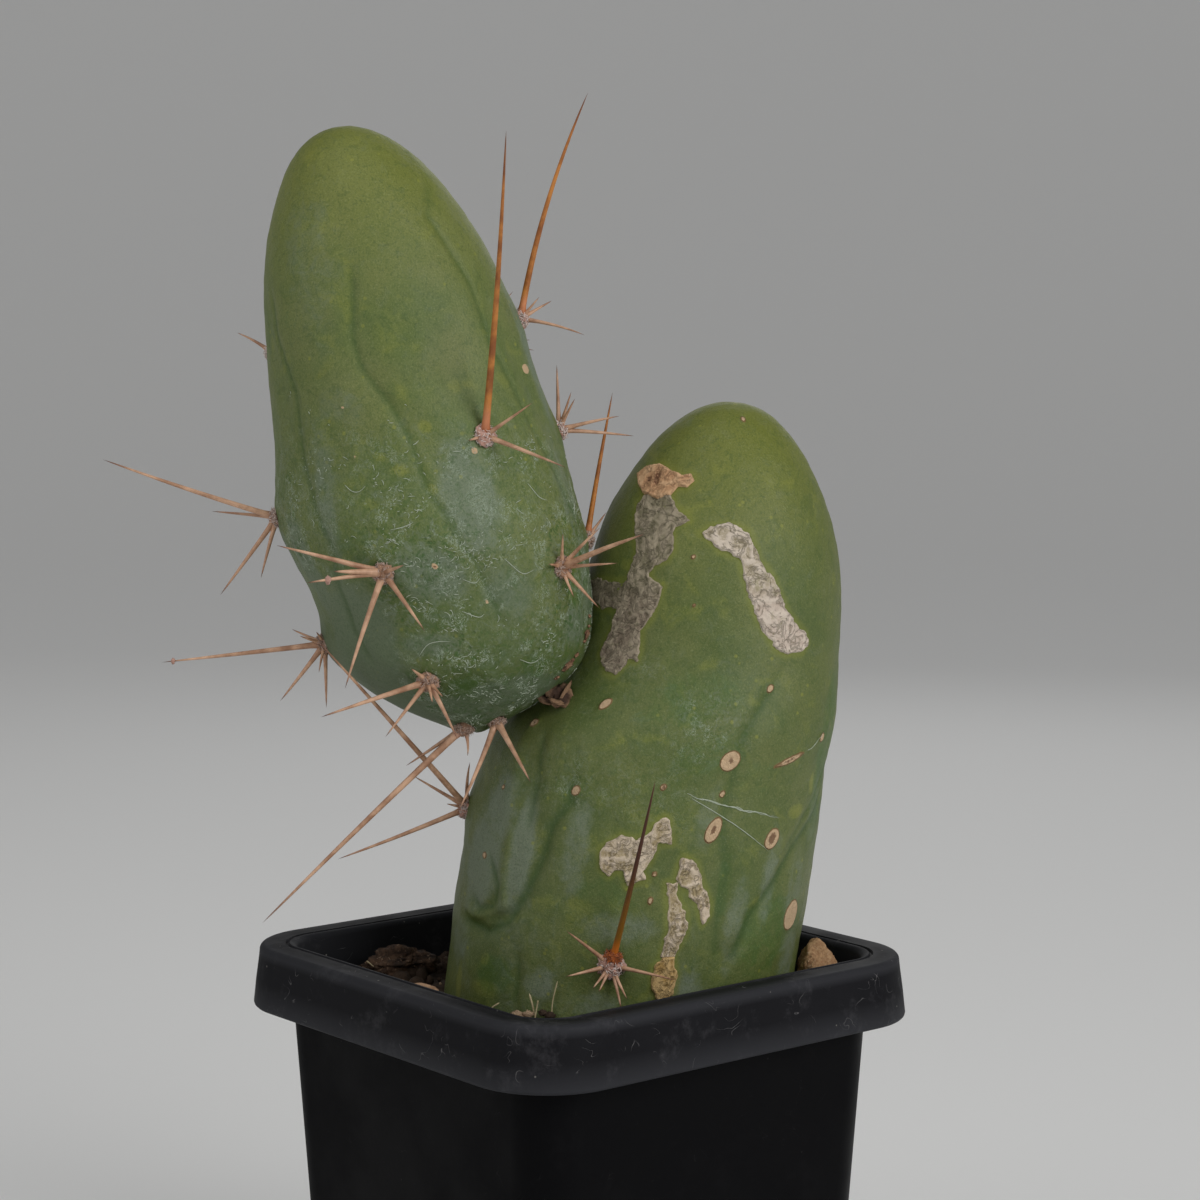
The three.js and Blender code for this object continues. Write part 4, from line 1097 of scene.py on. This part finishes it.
def add_spine(cluster, root, direction, sideways, length, thickness, bend, tone, random):
    """A stiff spine: bulbous at its foot, thick for most of its length, and sharp."""
    steps = max(8, int(length / 1.4))
    share = np.linspace(0, 1, steps + 1) ** 0.9
    across = np.cross(direction, sideways)
    side = np.cross(across / np.linalg.norm(across), direction)
    sag = math.radians(bend) * length * (share ** 2 - share) / 2
    sway = random.normal(0, 0.006) * length * np.sin(share * math.pi)
    path = root + np.outer(length * share, direction) + np.outer(sag + sway, side)
    radii = thickness / 2 * (1 - share) ** SPINE_FULLNESS
    radii = radii * (1 + 0.6 * np.exp(-((length * share / 1.2) ** 2)))
    points, faces = tapered(path, radii, SPINE_SIDES)
    along = np.append(np.repeat(share[:-1], SPINE_SIDES), [0, 1])
    cluster.add(points, faces, HORN, along, tone)


def turned_to(normal):
    """The turn that takes straight up to a direction."""
    return np.array(Vector((0, 0, 1)).rotation_difference(Vector(normal)).to_matrix())


def add_cushion(cluster, centre, normal, radius, tone, random):
    """A lumpy felted cushion with short wool lying and standing on it."""
    radii = radius * np.array(CUSHION_SHAPE)
    points, faces = ball((0, 0, 0), radii, 30, 16, 0.34, int(radius * 100 + 9 * centre[2]))
    turn = turned_to(normal)
    cluster.add(points @ turn.T + centre, faces, FELT, 0, tone)
    for number in range(WOOL_HAIRS):
        lying = number < LYING_HAIRS
        around = random.uniform(0, 2 * math.pi)
        tilt = math.acos(random.uniform(0.02, 0.95))
        flat = math.sin(tilt)
        unit = np.array((flat * math.cos(around), flat * math.sin(around), math.cos(tilt)))
        foot = unit * radii * (1.0 if lying else 0.9)
        lean = random.normal(0, 1, 3) if lying else unit + random.normal(0, 0.55, 3)
        lean = lean - unit * (lean @ unit) * 0.85 if lying else lean
        lean /= np.linalg.norm(lean)
        reach = random.uniform(0.4, 1.1) if lying else random.uniform(0.25, 0.7)
        thick = 0.06 if lying else 0.03
        path = np.array([foot, foot + lean * reach * 0.55 + unit * 0.1, foot + lean * reach])
        hair, hair_faces = tapered(path, np.array([thick, thick * 0.9, 0]), HAIR_SIDES)
        along = [0.6] * HAIR_SIDES + [1] * HAIR_SIDES + [0.6, 0.8]
        cluster.add(hair @ turn.T + centre, hair_faces, FELT, along, tone)


def curled_lines(random):
    """Short curled lines on the branch, as rows of turns and heights, thickest where its skin is worn."""
    steps = np.linspace(0, 1, 8)
    turn, height = random.uniform(-60, 100, CURL_TRIES), random.uniform(99, 150, CURL_TRIES)
    places = stem_points(BRANCH_STEM, turn, height)
    chance = branch_wear(turn, height, places) * ramp(noise(places, 2.6, 71), 0.1, 0.55)
    kept = random.uniform(size=CURL_TRIES) < chance
    turn, height = turn[kept, None], height[kept, None]
    length = 0.3 + 1.1 * random.uniform(size=turn.shape) ** 3
    heading = random.normal(0.15, 0.4, turn.shape) + random.normal(0, 1.3, turn.shape) * steps
    across = np.cumsum(np.cos(heading), axis=1) * length / len(steps)
    up = np.cumsum(np.sin(heading), axis=1) * length / len(steps)
    return turn + np.degrees(across / half_width(BRANCH_STEM, height)), height + up


def smooth_line(corners, count):
    """The coordinates of places, evenly spaced, on a smooth line through corners."""
    share = np.linspace(0, len(corners) - 1, count)
    return [value_at(range(len(corners)), column, share) for column in zip(*corners)]


def add_lines(cluster, skin, turns, heights, radius):
    """Thin tubes lying on a stem's skin."""
    count = len(turns[0])
    places, _ = skin.places(np.concatenate(turns), np.concatenate(heights), radius * 0.6)
    swell = np.sin(np.linspace(0.35, math.pi, count)) ** 0.6
    for path in places.reshape(-1, count, 3):
        cluster.add(*tapered(path, radius * swell, 5))


def build_threads(material, main, branch):
    """White curls of torn wax on the branch, and the scratches on the main stem."""
    random = np.random.default_rng(17)
    threads = Cluster()
    add_lines(threads, branch, *curled_lines(random), CURL_RADIUS)
    named = [smooth_line(line, 14) for line in BRANCH_THREADS]
    add_lines(threads, branch, *zip(*named), THREAD_RADIUS)
    settle(threads.piece("branch_threads", [material]), "branch_skin")
    scratches = Cluster()
    for scratch in MAIN_SCRATCHES:
        for _ in range(scratch["strands"]):
            turn, height = smooth_line(scratch["line"], SCRATCH_STEPS)
            places = np.column_stack([turn, height, turn * 0])
            stray = scratch["stray"] * noise(places, 2.2, int(random.integers(80, 99)))
            ends = sorted(random.uniform(0, 0.25, 2)) if scratch["strands"] > 1 else (0, 0)
            first, last = (int(SCRATCH_STEPS * end) for end in ends)
            kept = slice(first, SCRATCH_STEPS - last)
            add_lines(scratches, main, [turn[kept]], [(height + stray)[kept]], scratch["radius"])
    settle(scratches.piece("main_scratches", [material]), "main_skin")


def closed_sheet(top, bottom, kept):
    """A closed body between two layers of a grid of places, with only the kept cells of the grid."""
    rows, columns = kept.shape
    below = (rows + 1) * (columns + 1)
    faces = []
    for row, column in np.argwhere(kept):
        corner = row * (columns + 1) + column
        ring = (corner, corner + 1, corner + columns + 2, corner + columns + 1)
        faces.append(ring)
        faces.append(tuple(index + below for index in ring[::-1]))
        for side, (down, along) in enumerate([(-1, 0), (0, 1), (1, 0), (0, -1)]):
            beside = row + down, column + along
            if not (0 <= beside[0] < rows and 0 <= beside[1] < columns and kept[beside]):
                start, end = ring[side], ring[(side + 1) % 4]
                faces.append((end, start, start + below, end + below))
    used, numbers = np.unique(np.concatenate([np.array(face) for face in faces]), return_inverse=True)
    numbers = iter(numbers.tolist())
    faces = [tuple(next(numbers) for _ in face) for face in faces]
    return np.vstack([top, bottom])[used], faces, used % below


def build_scar(name, scar, material, skin):
    """A corky scar as a thin crinkled sheet, whose ragged edge dips into the main stem's skin."""
    corners = np.array(scar["outline"], float)
    (left, low), (right, high) = corners.min(axis=0), corners.max(axis=0)
    step = math.degrees(SCAR_GRAIN / half_width(skin.stem, (low + high) / 2))
    turns, heights = np.arange(left - 5, right + 5, step), np.arange(low - 1, high + 1, SCAR_GRAIN)
    height, turn = (grid.ravel() for grid in np.meshgrid(heights, turns, indexing="ij"))
    plain = stem_points(skin.stem, turn, height)
    ragged = scar["ragged"] * (noise(plain, 1.3, 31) + 0.6 * noise(plain, 0.5, 33))
    inside = -(mark_distance(skin.stem, [scar["outline"]], turn, height) + ragged)
    crest = (1 - 2 * np.abs(noise(plain, 1.7, 35))) * 0.6 + (1 - 2 * np.abs(noise(plain, 0.8, 37))) * 0.4
    edge = smooth_step(inside / 0.3 + 0.5)
    rough = scar["crinkle"] * crest + 0.05 * noise(plain, 0.4, 39)
    above = -SCAR_ROOT + edge * (SCAR_ROOT + scar["rise"] + rough)
    above += scar["lip"] * np.exp(-(((inside - 0.12) / 0.16) ** 2))
    # A pit is dug in, and its crest number is lowered so that it takes the valleys' darker colour as painted
    # shade.
    for pit in scar.get("pits", []):
        away = np.linalg.norm(places_from(skin.stem, turn, height, *pit), axis=1)
        above -= 0.3 * np.exp(-((away / 0.42) ** 2))
        crest -= 2.6 * np.exp(-((away / 0.6) ** 2))
    top, normals = skin.places(turn, height, above)
    near = (inside > -0.5).reshape(len(heights), len(turns))
    kept = near[:-1, :-1] & near[1:, :-1] & near[:-1, 1:] & near[1:, 1:]
    points, faces, used = closed_sheet(top, top - normals * SCAR_THICKNESS, kept)
    # The crest number also sets the scar's colour, with painted shade in the valleys and painted highlight on
    # the crests.
    attributes = {"crest": 0.5 + 0.5 * crest[used], "rim": inside[used]}
    settle(add_mesh(name, to_world(points), faces, [material], attributes), "main_skin")


def build_scars(skin):
    looks = {}
    for kind, (contrast, *colours) in SCAR_COLOURS.items():
        looks[kind] = scar_look(f"{kind}_look", contrast, *(srgb(*colour) for colour in colours))
    for number, scar in enumerate(MAIN_SCARS, start=1):
        build_scar(f"corky_scar_{number:02d}", scar, looks[scar["look"]], skin)


def flat_flake(centre, normal, radii, seed):
    """A thin ragged flake lying across a direction, and how near each of its points is to its rim."""
    points, faces = ball((0, 0, 0), (1, 1, 1), 16, 10, 0.45, seed)
    rim = np.linalg.norm(points[:, :2], axis=1)
    return (points * radii) @ turned_to(normal).T + centre, faces, rim


def build_flakes(material, skin):
    """Corky flakes along the branch's edge, where it was rubbed by the main stem."""
    cluster = Cluster()
    for number, (turn, height, size) in enumerate(BRANCH_FLAKES):
        places, normals = skin.places(np.array([turn], float), np.array([height], float), 0.1)
        points, faces, rim = flat_flake(places[0], normals[0], (size * 0.5, size * 0.75, 0.22), 200 + number)
        cluster.add(points, faces, along=ramp(rim, 0.6, 1))
    settle(cluster.piece("cork_flakes", [material]), "branch_skin")


def build_husk(material):
    """The dry bract wedged into the seam between the stems: brown papery lobes with pale strips."""
    cluster = Cluster()
    for number, (centre, normal, radii) in enumerate(HUSK_LOBES):
        points, faces, rim = flat_flake(np.array(centre), normal, radii, 230 + number)
        cluster.add(points, faces, along=1.0 if number > 1 else ramp(rim, 0.75, 1.1))
    settle(cluster.piece("dry_bract", [material]), "main_skin")


def build_fibres(material):
    cluster = Cluster()
    for line, radius in FIBRES:
        path = np.column_stack(smooth_line(line, FIBRE_STEPS))
        cluster.add(*tapered(path, np.full(FIBRE_STEPS, radius), 6))
    settle(cluster.piece("stray_fibres", [material]), "soil_mix")


def seen_from_front(clock, lean):
    """A spine's direction, and the direction in the view that is a quarter turn clockwise of it."""
    up, forward = math.radians(clock), math.radians(lean)
    flat = math.cos(forward)
    direction = np.array((math.sin(up) * flat, -math.sin(forward), math.cos(up) * flat))
    return direction, np.array((math.cos(up), 0, -math.sin(up)))


def spine_tone(clock, length, is_main):
    """Long upright spines are orange on the branch and dark brown on the main stem; the rest are tan."""
    upright = length > LONG_SPINE and abs(clock) < 20
    return (1 if is_main else 0.6) if upright else 0


def front_spines(cluster, is_main, areole, root, random):
    for clock, lean, length, thickness, *bend in areole["spines"]:
        direction, sideways = seen_from_front(clock, lean)
        slim = thickness * (0.86 if length > LONG_SPINE else 1)
        tone = spine_tone(clock, length, is_main)
        add_spine(cluster, root, direction, sideways, length, slim, sum(bend), tone, random)
    for number, share, radius in areole.get("beads", []):
        clock, lean, length, *_ = areole["spines"][number]
        place = root + seen_from_front(clock, lean)[0] * length * share
        bead, faces = ball(place, (radius * 0.7, radius, radius), 14, 10, 0.3, 61)
        cluster.add(bead, faces, FELT)


def seeded_random(seed):
    """The same run of numbers as the solids' back areoles are drawn from."""
    state = seed
    while True:
        state = (state * 1664525 + 1013904223) % 4294967296
        yield state / 4294967296


def between(ends, share):
    return ends[0] + (ends[1] - ends[0]) * share


def back_spines(cluster, normal, root, draws, random):
    """A ring of spines round a central one, on a side that the photo doesn't show."""
    sideways = np.cross(normal, (0, 0, 1))
    sideways /= np.linalg.norm(sideways)
    upward = np.cross(sideways, normal)

    def add_tilted(clock, tilt, length, thickness):
        outward = sideways * math.sin(tilt) * math.sin(clock) + upward * math.sin(tilt) * math.cos(clock)
        direction = normal * math.cos(tilt) + outward
        side = np.cross(direction, (0.3, 0.2, 1))
        add_spine(cluster, root, direction, side, length, thickness, 0, 0, random)

    count = math.floor(between(BACK_RADIALS, next(draws)) + 0.5)
    for number in range(count):
        clock = (number + 0.6 * next(draws)) / count * 2 * math.pi
        tilt = math.radians(between(BACK_RADIAL_TILT, next(draws)))
        add_tilted(clock, tilt, between(BACK_RADIAL_LENGTH, next(draws)), 0.7)
    length = between(BACK_CENTRAL_LENGTH, next(draws))
    add_tilted(next(draws) * 2 * math.pi, math.radians(BACK_CENTRAL_TILT), length, 1)


def build_areoles(skin, label, materials):
    """Each areole as one piece: its cushion, its wool and its spines. Felt is browner low on the branch."""
    draws = seeded_random(len(label))
    random = np.random.default_rng(len(label))
    is_main = skin.stem is MAIN_STEM
    for number, areole in enumerate(skin.front + skin.back, start=1):
        turn, height = [areole["turn"]], [areole["height"]]
        normal = stem_normals(skin.stem, turn, height)[0]
        root = stem_points(skin.stem, turn, height)[0] + CUSHION_LIFT * normal
        cluster = Cluster()
        age = 0 if is_main else np.clip((areole["height"] - 138) / 30, -0.9, 0)
        add_cushion(cluster, root, normal, areole["radius"], age, random)
        if areole.get("orange_foot"):
            direction, _ = seen_from_front(*areole["spines"][0][:2])
            add_cushion(cluster, root + 1.3 * direction, direction, 1.1, 1.0, random)
        if "spines" in areole:
            front_spines(cluster, is_main, areole, root, random)
        else:
            back_spines(cluster, normal, root, draws, random)
        name = f"{label}_{number:02d}"
        settle(cluster.piece(f"areole_{name}", materials), "spine_horn", f"spines_{name}")


def square_ring(half_width, corner_radius, height, steps):
    """One closed ring of a square with round corners, counter-clockwise from above."""
    points = []
    for corner, (sign_x, sign_y) in enumerate([(1, 1), (-1, 1), (-1, -1), (1, -1)]):
        for step in range(steps + 1):
            angle = (corner + step / steps) * math.pi / 2
            points.append((sign_x * (half_width - corner_radius) + corner_radius * math.cos(angle),
                           sign_y * (half_width - corner_radius) + corner_radius * math.sin(angle), height))
    return points


def rings_body(rings):
    """A closed body through a list of rings, closed flat at both ends."""
    sides = len(rings[0])
    points = [point for ring in rings for point in ring]
    bottom = tuple(range(sides))[::-1]
    top = tuple(range((len(rings) - 1) * sides, len(rings) * sides))
    return points, [bottom] + ring_faces(sides, len(rings)) + [top]


def pot_body_half(height):
    return POT["body_half"] - POT["taper"] * (POT["height"] - height)


def arc(radius, angle):
    """Across and up from the middle of a rounded edge, at an angle in degrees."""
    return radius * math.cos(math.radians(angle)), radius * math.sin(math.radians(angle))


def pot_rings():
    """The pot's wall, up its outside and down its inside: half width, corner radius, height and painted
    highlight on its edges.
    """
    top, lip, corner = POT["height"], POT["lip_half"], POT["lip_corner"]
    wall, flare, under = POT["lip_wall"], POT["flare"], POT["height"] - POT["lip_wall"]
    hem, rim = POT["hem_round"], POT["rim_round"]
    skirt = top - POT["lip_drop"]
    body, inner = POT["body_corner"], POT["body_corner"] - POT["wall"]
    hole = POT["body_half"] - POT["wall"]
    floor = POT["floor"]
    sections = [(pot_body_half(0) - 1.2, body - 1.2, 0, 0), (pot_body_half(0.4) - 0.4, body - 0.4, 0.3, 0.3),
                (pot_body_half(1), body, 1.2, 0.1)]
    sections += [(pot_body_half(height), body, height, 0) for height in np.linspace(8, under - 3, 12)]
    sections += [(pot_body_half(under), body, under, 0), (lip - wall, corner - wall, under, 0)]
    sections += [(lip + flare - wall, corner + flare - wall, skirt + 0.5, 0.1)]
    for angle in np.linspace(-150, 0, 6):
        across, up = arc(hem, angle)
        across += flare - hem
        sections.append((lip + across, corner + across, skirt + hem + up, 0.55))
    sections += [(lip + 0.62, corner + 0.62, skirt + 4, 0), (lip + 0.2, corner + 0.2, top - 1.8, 0)]
    for angle in np.linspace(0, 90, 6):
        across, up = arc(rim, angle)
        across += 0.1 - rim
        sections.append((lip + across, corner + across, top - rim + up, 0.5))
    middle = (lip + hole) / 2
    sections += [(middle + 0.2, inner + middle - hole + 0.2, top, 0), (hole + 1.5, inner + 1.5, top, 0.1),
                 (hole + 1.3, inner + 1.3, top - 0.35, 0), (hole + 1.05, inner + 1.05, top - 0.35, 0),
                 (hole + 0.85, inner + 0.85, top, 0.35)]
    for angle in np.linspace(90, 0, 5):
        across, up = arc(rim, angle)
        inward = rim - up if angle < 90 else rim
        sections.append((hole + rim - across, inner + inward, top - rim + up, 0.3))
    sections += [(pot_body_half(height) - POT["wall"], inner, height, 0) for height in np.linspace(50, 12, 5)]
    sections += [(pot_body_half(floor) - POT["wall"], inner, floor, 0)]
    return sections


def build_pot(material):
    """The pot as one thin shell, with its drain holes cut through the floor."""
    sections = pot_rings()
    rings = [square_ring(half, corner, height, POT["corner_steps"]) for half, corner, height, _ in sections]
    points, faces = rings_body(rings)
    # How much painted highlight each ring's edge gets.
    edge = np.repeat([section[3] for section in sections], len(rings[0]))
    pot = add_mesh("pot_shell", np.array(points) * MM, faces, [material], {"edge": edge})
    for x, y in product((-POT["drain_spacing"], POT["drain_spacing"]), repeat=2):
        bpy.ops.mesh.primitive_cylinder_add(vertices=40, radius=POT["drain_radius"] * MM, depth=10 * MM,
                                            location=(x * MM, y * MM, 0))
        drain = bpy.context.object
        cut = pot.modifiers.new("drain", "BOOLEAN")
        cut.object = drain
        cut.operation = "DIFFERENCE"
        cut.solver = "EXACT"
        bpy.context.view_layer.objects.active = pot
        bpy.ops.object.modifier_apply(modifier=cut.name)
        bpy.data.objects.remove(drain)
    pot.data.shade_smooth()
    pot.data.set_sharp_from_angle(angle=math.radians(POT["sharp_from"]))
    settle(pot, "pot_plastic", "pot")


def soil_height(x, y):
    waves = np.sin(x * 0.9 + 1) * np.cos(y * 0.8) + np.sin(x * 0.37 - y * 0.5)
    return SOIL_LEVEL + 0.4 * waves


def build_soil(material):
    """The rough top of the soil down to the pot's floor, as one closed body."""
    floor = POT["floor"] + SOIL_GAP
    gap = POT["wall"] + SOIL_GAP
    corner = POT["body_corner"] - gap
    half = pot_body_half(SOIL_LEVEL) - gap
    rings = [square_ring(pot_body_half(floor) - gap, corner, floor, 12)]
    rings += [square_ring(half, corner, SOIL_LEVEL - 4, 12)]
    for share in np.linspace(1, 0.02, 110):
        rings.append(square_ring(half * share, corner * share, SOIL_LEVEL, 12))
    points, faces = rings_body(rings)
    points = np.array(points)
    on_top = points[:, 2] == SOIL_LEVEL
    rough = 0.35 * noise(points[on_top], 2.2, 41) + 0.25 * noise(points[on_top], 0.9, 43)
    points[on_top, 2] = soil_height(points[on_top, 0], points[on_top, 1]) + rough
    soil = add_mesh("soil_bed", points * MM, faces, [material], {"tone": np.zeros(len(points))})
    settle(soil, "soil_mix", "soil")


def build_grains(material):
    """Loose clods and grit strewn over the soil, clear of the main stem, and the crumbs against the lip."""
    random = np.random.default_rng(5)
    cluster = Cluster()
    half = pot_body_half(SOIL_LEVEL) - 2.2
    stem_x = value_at(MAIN_STEM["heights"], MAIN_STEM["centresX"], SOIL_LEVEL)
    stem_width = half_width(MAIN_STEM, SOIL_LEVEL)
    cos, sin = math.cos(PLANT_TURN), math.sin(PLANT_TURN)
    to_plant = np.array([[cos, sin], [-sin, cos]])
    for _ in range(GRAINS):
        world = random.uniform(-half, half, 2)
        size = random.uniform(0.3, 1.0) ** 2 * 1.5 + 0.22
        tone = random.uniform(0, 1)
        x, y = to_plant @ world
        off_x, off_y = (x - stem_x) / (stem_width + size), y / (stem_width * MAIN_STEM["depthRatio"] + size)
        if off_x ** 2 + off_y ** 2 > 1:
            place = (x, y, soil_height(*world) + size * 0.35)
            radii = size * random.uniform(0.6, 1.1, 3)
            cluster.add(*ball(place, radii, 9, 6, 0.3, int(random.integers(1, 900))), tone=tone)
    for number, (place, size, tone) in enumerate(CRUMBS):
        radii = size * np.array((1.2, 0.9, 0.8))
        cluster.add(*ball(place, radii, 16, 10, 0.4, 300 + number), tone=tone)
    settle(cluster.piece("soil_grains", [material]), "soil_mix")


def build_lump(name, node, slot, centre, half_sizes, turn, bumps, broken, dark, light, glints, patch):
    """A stone or bark chunk: the solid's lump with a finely broken skin."""
    material = crumbly_look(f"{slot}_look", srgb(*dark), srgb(*light), srgb(*glints), patch)
    unit, faces = ball((0, 0, 0), (1, 1, 1), 90, 60)
    # The solid's lump stands on its side: its poles lie along Y.
    unit = unit[:, [0, 2, 1]] * (1, 1, -1)
    wave = np.sin(3 * unit[:, 0] + 2 * unit[:, 2]) * np.cos(4 * unit[:, 1] + unit[:, 0])
    rough = noise(unit * 2.2, 1, 51) + 0.6 * noise(unit * 5, 1, 53) + 0.4 * noise(unit * 11, 1, 55)
    points = unit * (1 + bumps * wave + broken * rough)[:, None] * half_sizes
    cos, sin = math.cos(math.radians(turn)), math.sin(math.radians(turn))
    points = points @ np.array([[cos, sin, 0], [-sin, cos, 0], [0, 0, 1]]) + centre
    settle(add_mesh(name, to_world(points), faces, [material]), slot, node)


def aim(thing, place, target):
    """Puts a camera or lamp at a place and turns it towards a target, both in the plant's millimetres."""
    start, end = to_world([place, target])
    thing.location = start
    thing.rotation_euler = Vector(end - start).to_track_quat("-Z", "Y").to_euler()
    bpy.context.scene.collection.objects.link(thing)


def build_camera():
    camera_data = bpy.data.cameras.new("camera")
    camera_data.lens = CAMERA_LENS
    camera_data.sensor_width = CAMERA_SENSOR
    camera_data.clip_start = 0.01
    camera = bpy.data.objects.new("camera", camera_data)
    back = np.array((0, -math.cos(CAMERA_PITCH), math.sin(CAMERA_PITCH)))
    aim(camera, CAMERA_TARGET + CAMERA_DISTANCE * back, CAMERA_TARGET)
    bpy.context.scene.camera = camera


def build_stage():
    """A plain pale floor that curves up into a pale wall all round. Its sizes are in metres."""
    look = bpy.data.materials.new("stage_look")
    look.use_nodes = True
    shader = look.node_tree.nodes["Principled BSDF"]
    shader.inputs["Base Color"].default_value = (0.62, 0.62, 0.61, 1)
    shader.inputs["Emission Color"].default_value = (1, 1, 1, 1)
    shader.inputs["Emission Strength"].default_value = 0.16
    shader.inputs["Roughness"].default_value = 0.9
    floor_end, bend, wall_top, sides = 1.6, 0.9, 1.6, 96
    profile = [(0.001, 0), (0.6, 0), (floor_end, 0)]
    profile += [(floor_end + bend * math.sin(angle), bend - bend * math.cos(angle))
                for angle in np.linspace(0.1, math.pi / 2, 14)]
    profile += [(floor_end + bend, wall_top)]
    points = [(radius * math.cos(angle), radius * math.sin(angle), height)
              for radius, height in profile for angle in np.arange(sides) * 2 * math.pi / sides]
    faces = ring_faces(sides, len(profile), inward=True)
    add_mesh("stage_floor", points, faces, [look])


def build_light():
    """Four soft round lamps in a dim white world. A lamp's size is in metres."""
    scene = bpy.context.scene
    scene.world = bpy.data.worlds.new("pale_world")
    scene.world.use_nodes = True
    background = scene.world.node_tree.nodes["Background"]
    background.inputs["Color"].default_value = (1, 1, 1, 1)
    background.inputs["Strength"].default_value = 0.08
    for name, place, size, power in LAMPS:
        lamp = bpy.data.lights.new(name, "AREA")
        lamp.shape = "DISK"
        lamp.size = size
        lamp.energy = power
        light = bpy.data.objects.new(name, lamp)
        aim(light, place, LAMP_TARGET)
        light.visible_camera = False
    scene.view_settings.view_transform = "Standard"


def build_plant():
    main = Skin(MAIN_STEM, MAIN_AREOLES, BACK_OF_MAIN, MAIN_FOLDS, MAIN_SPOTS, main_wear, main_film,
                spot_rise=0.16, spot_edge=0.25, core_depth=0.14,
                bloom=MAIN_BLOOM, green=MAIN_GREENS, yellow=MAIN_YELLOWS)
    branch = Skin(BRANCH_STEM, BRANCH_AREOLES, BACK_OF_BRANCH, BRANCH_FOLDS, BRANCH_SPOTS, branch_wear,
                  branch_film, spot_rise=0.12, spot_edge=0.3, core_depth=0,
                  bloom=BRANCH_BLOOM, green=BRANCH_GREENS, yellow=BRANCH_YELLOWS)
    build_skin("main_skin_fine", main, SOIL_LEVEL - 4, MAIN_SCARS, main_skin(), "main_skin", "stem_main")
    build_skin("branch_skin_fine", branch, BRANCH_STEM["bottom"], [], branch_skin(),
               "branch_skin", "stem_branch")
    spine_materials = [spine_look(), felt_look()]
    build_areoles(main, "main", spine_materials)
    build_areoles(branch, "branch", spine_materials)
    build_scars(main)
    threads = strand_look("thread_look", 1.1, srgb(112, 126, 98), srgb(196, 202, 188), 0.6)
    build_threads(threads, main, branch)
    # The third colour is for painted glints.
    cork = crumbly_look("cork_look", srgb(92, 66, 48), srgb(164, 126, 98), srgb(204, 178, 150), 0.7)
    build_flakes(cork, branch)
    build_husk(husk_look())


def build_pot_and_soil():
    soil = soil_look()
    build_pot(plastic_look())
    build_soil(soil)
    build_grains(soil)
    build_fibres(strand_look("fibre_look", 1.2, srgb(132, 112, 76), srgb(196, 184, 150), 0.7))
    for lump in LUMPS:
        build_lump(**lump)


build_camera()
build_stage()
build_light()
build_pot_and_soil()
build_plant()
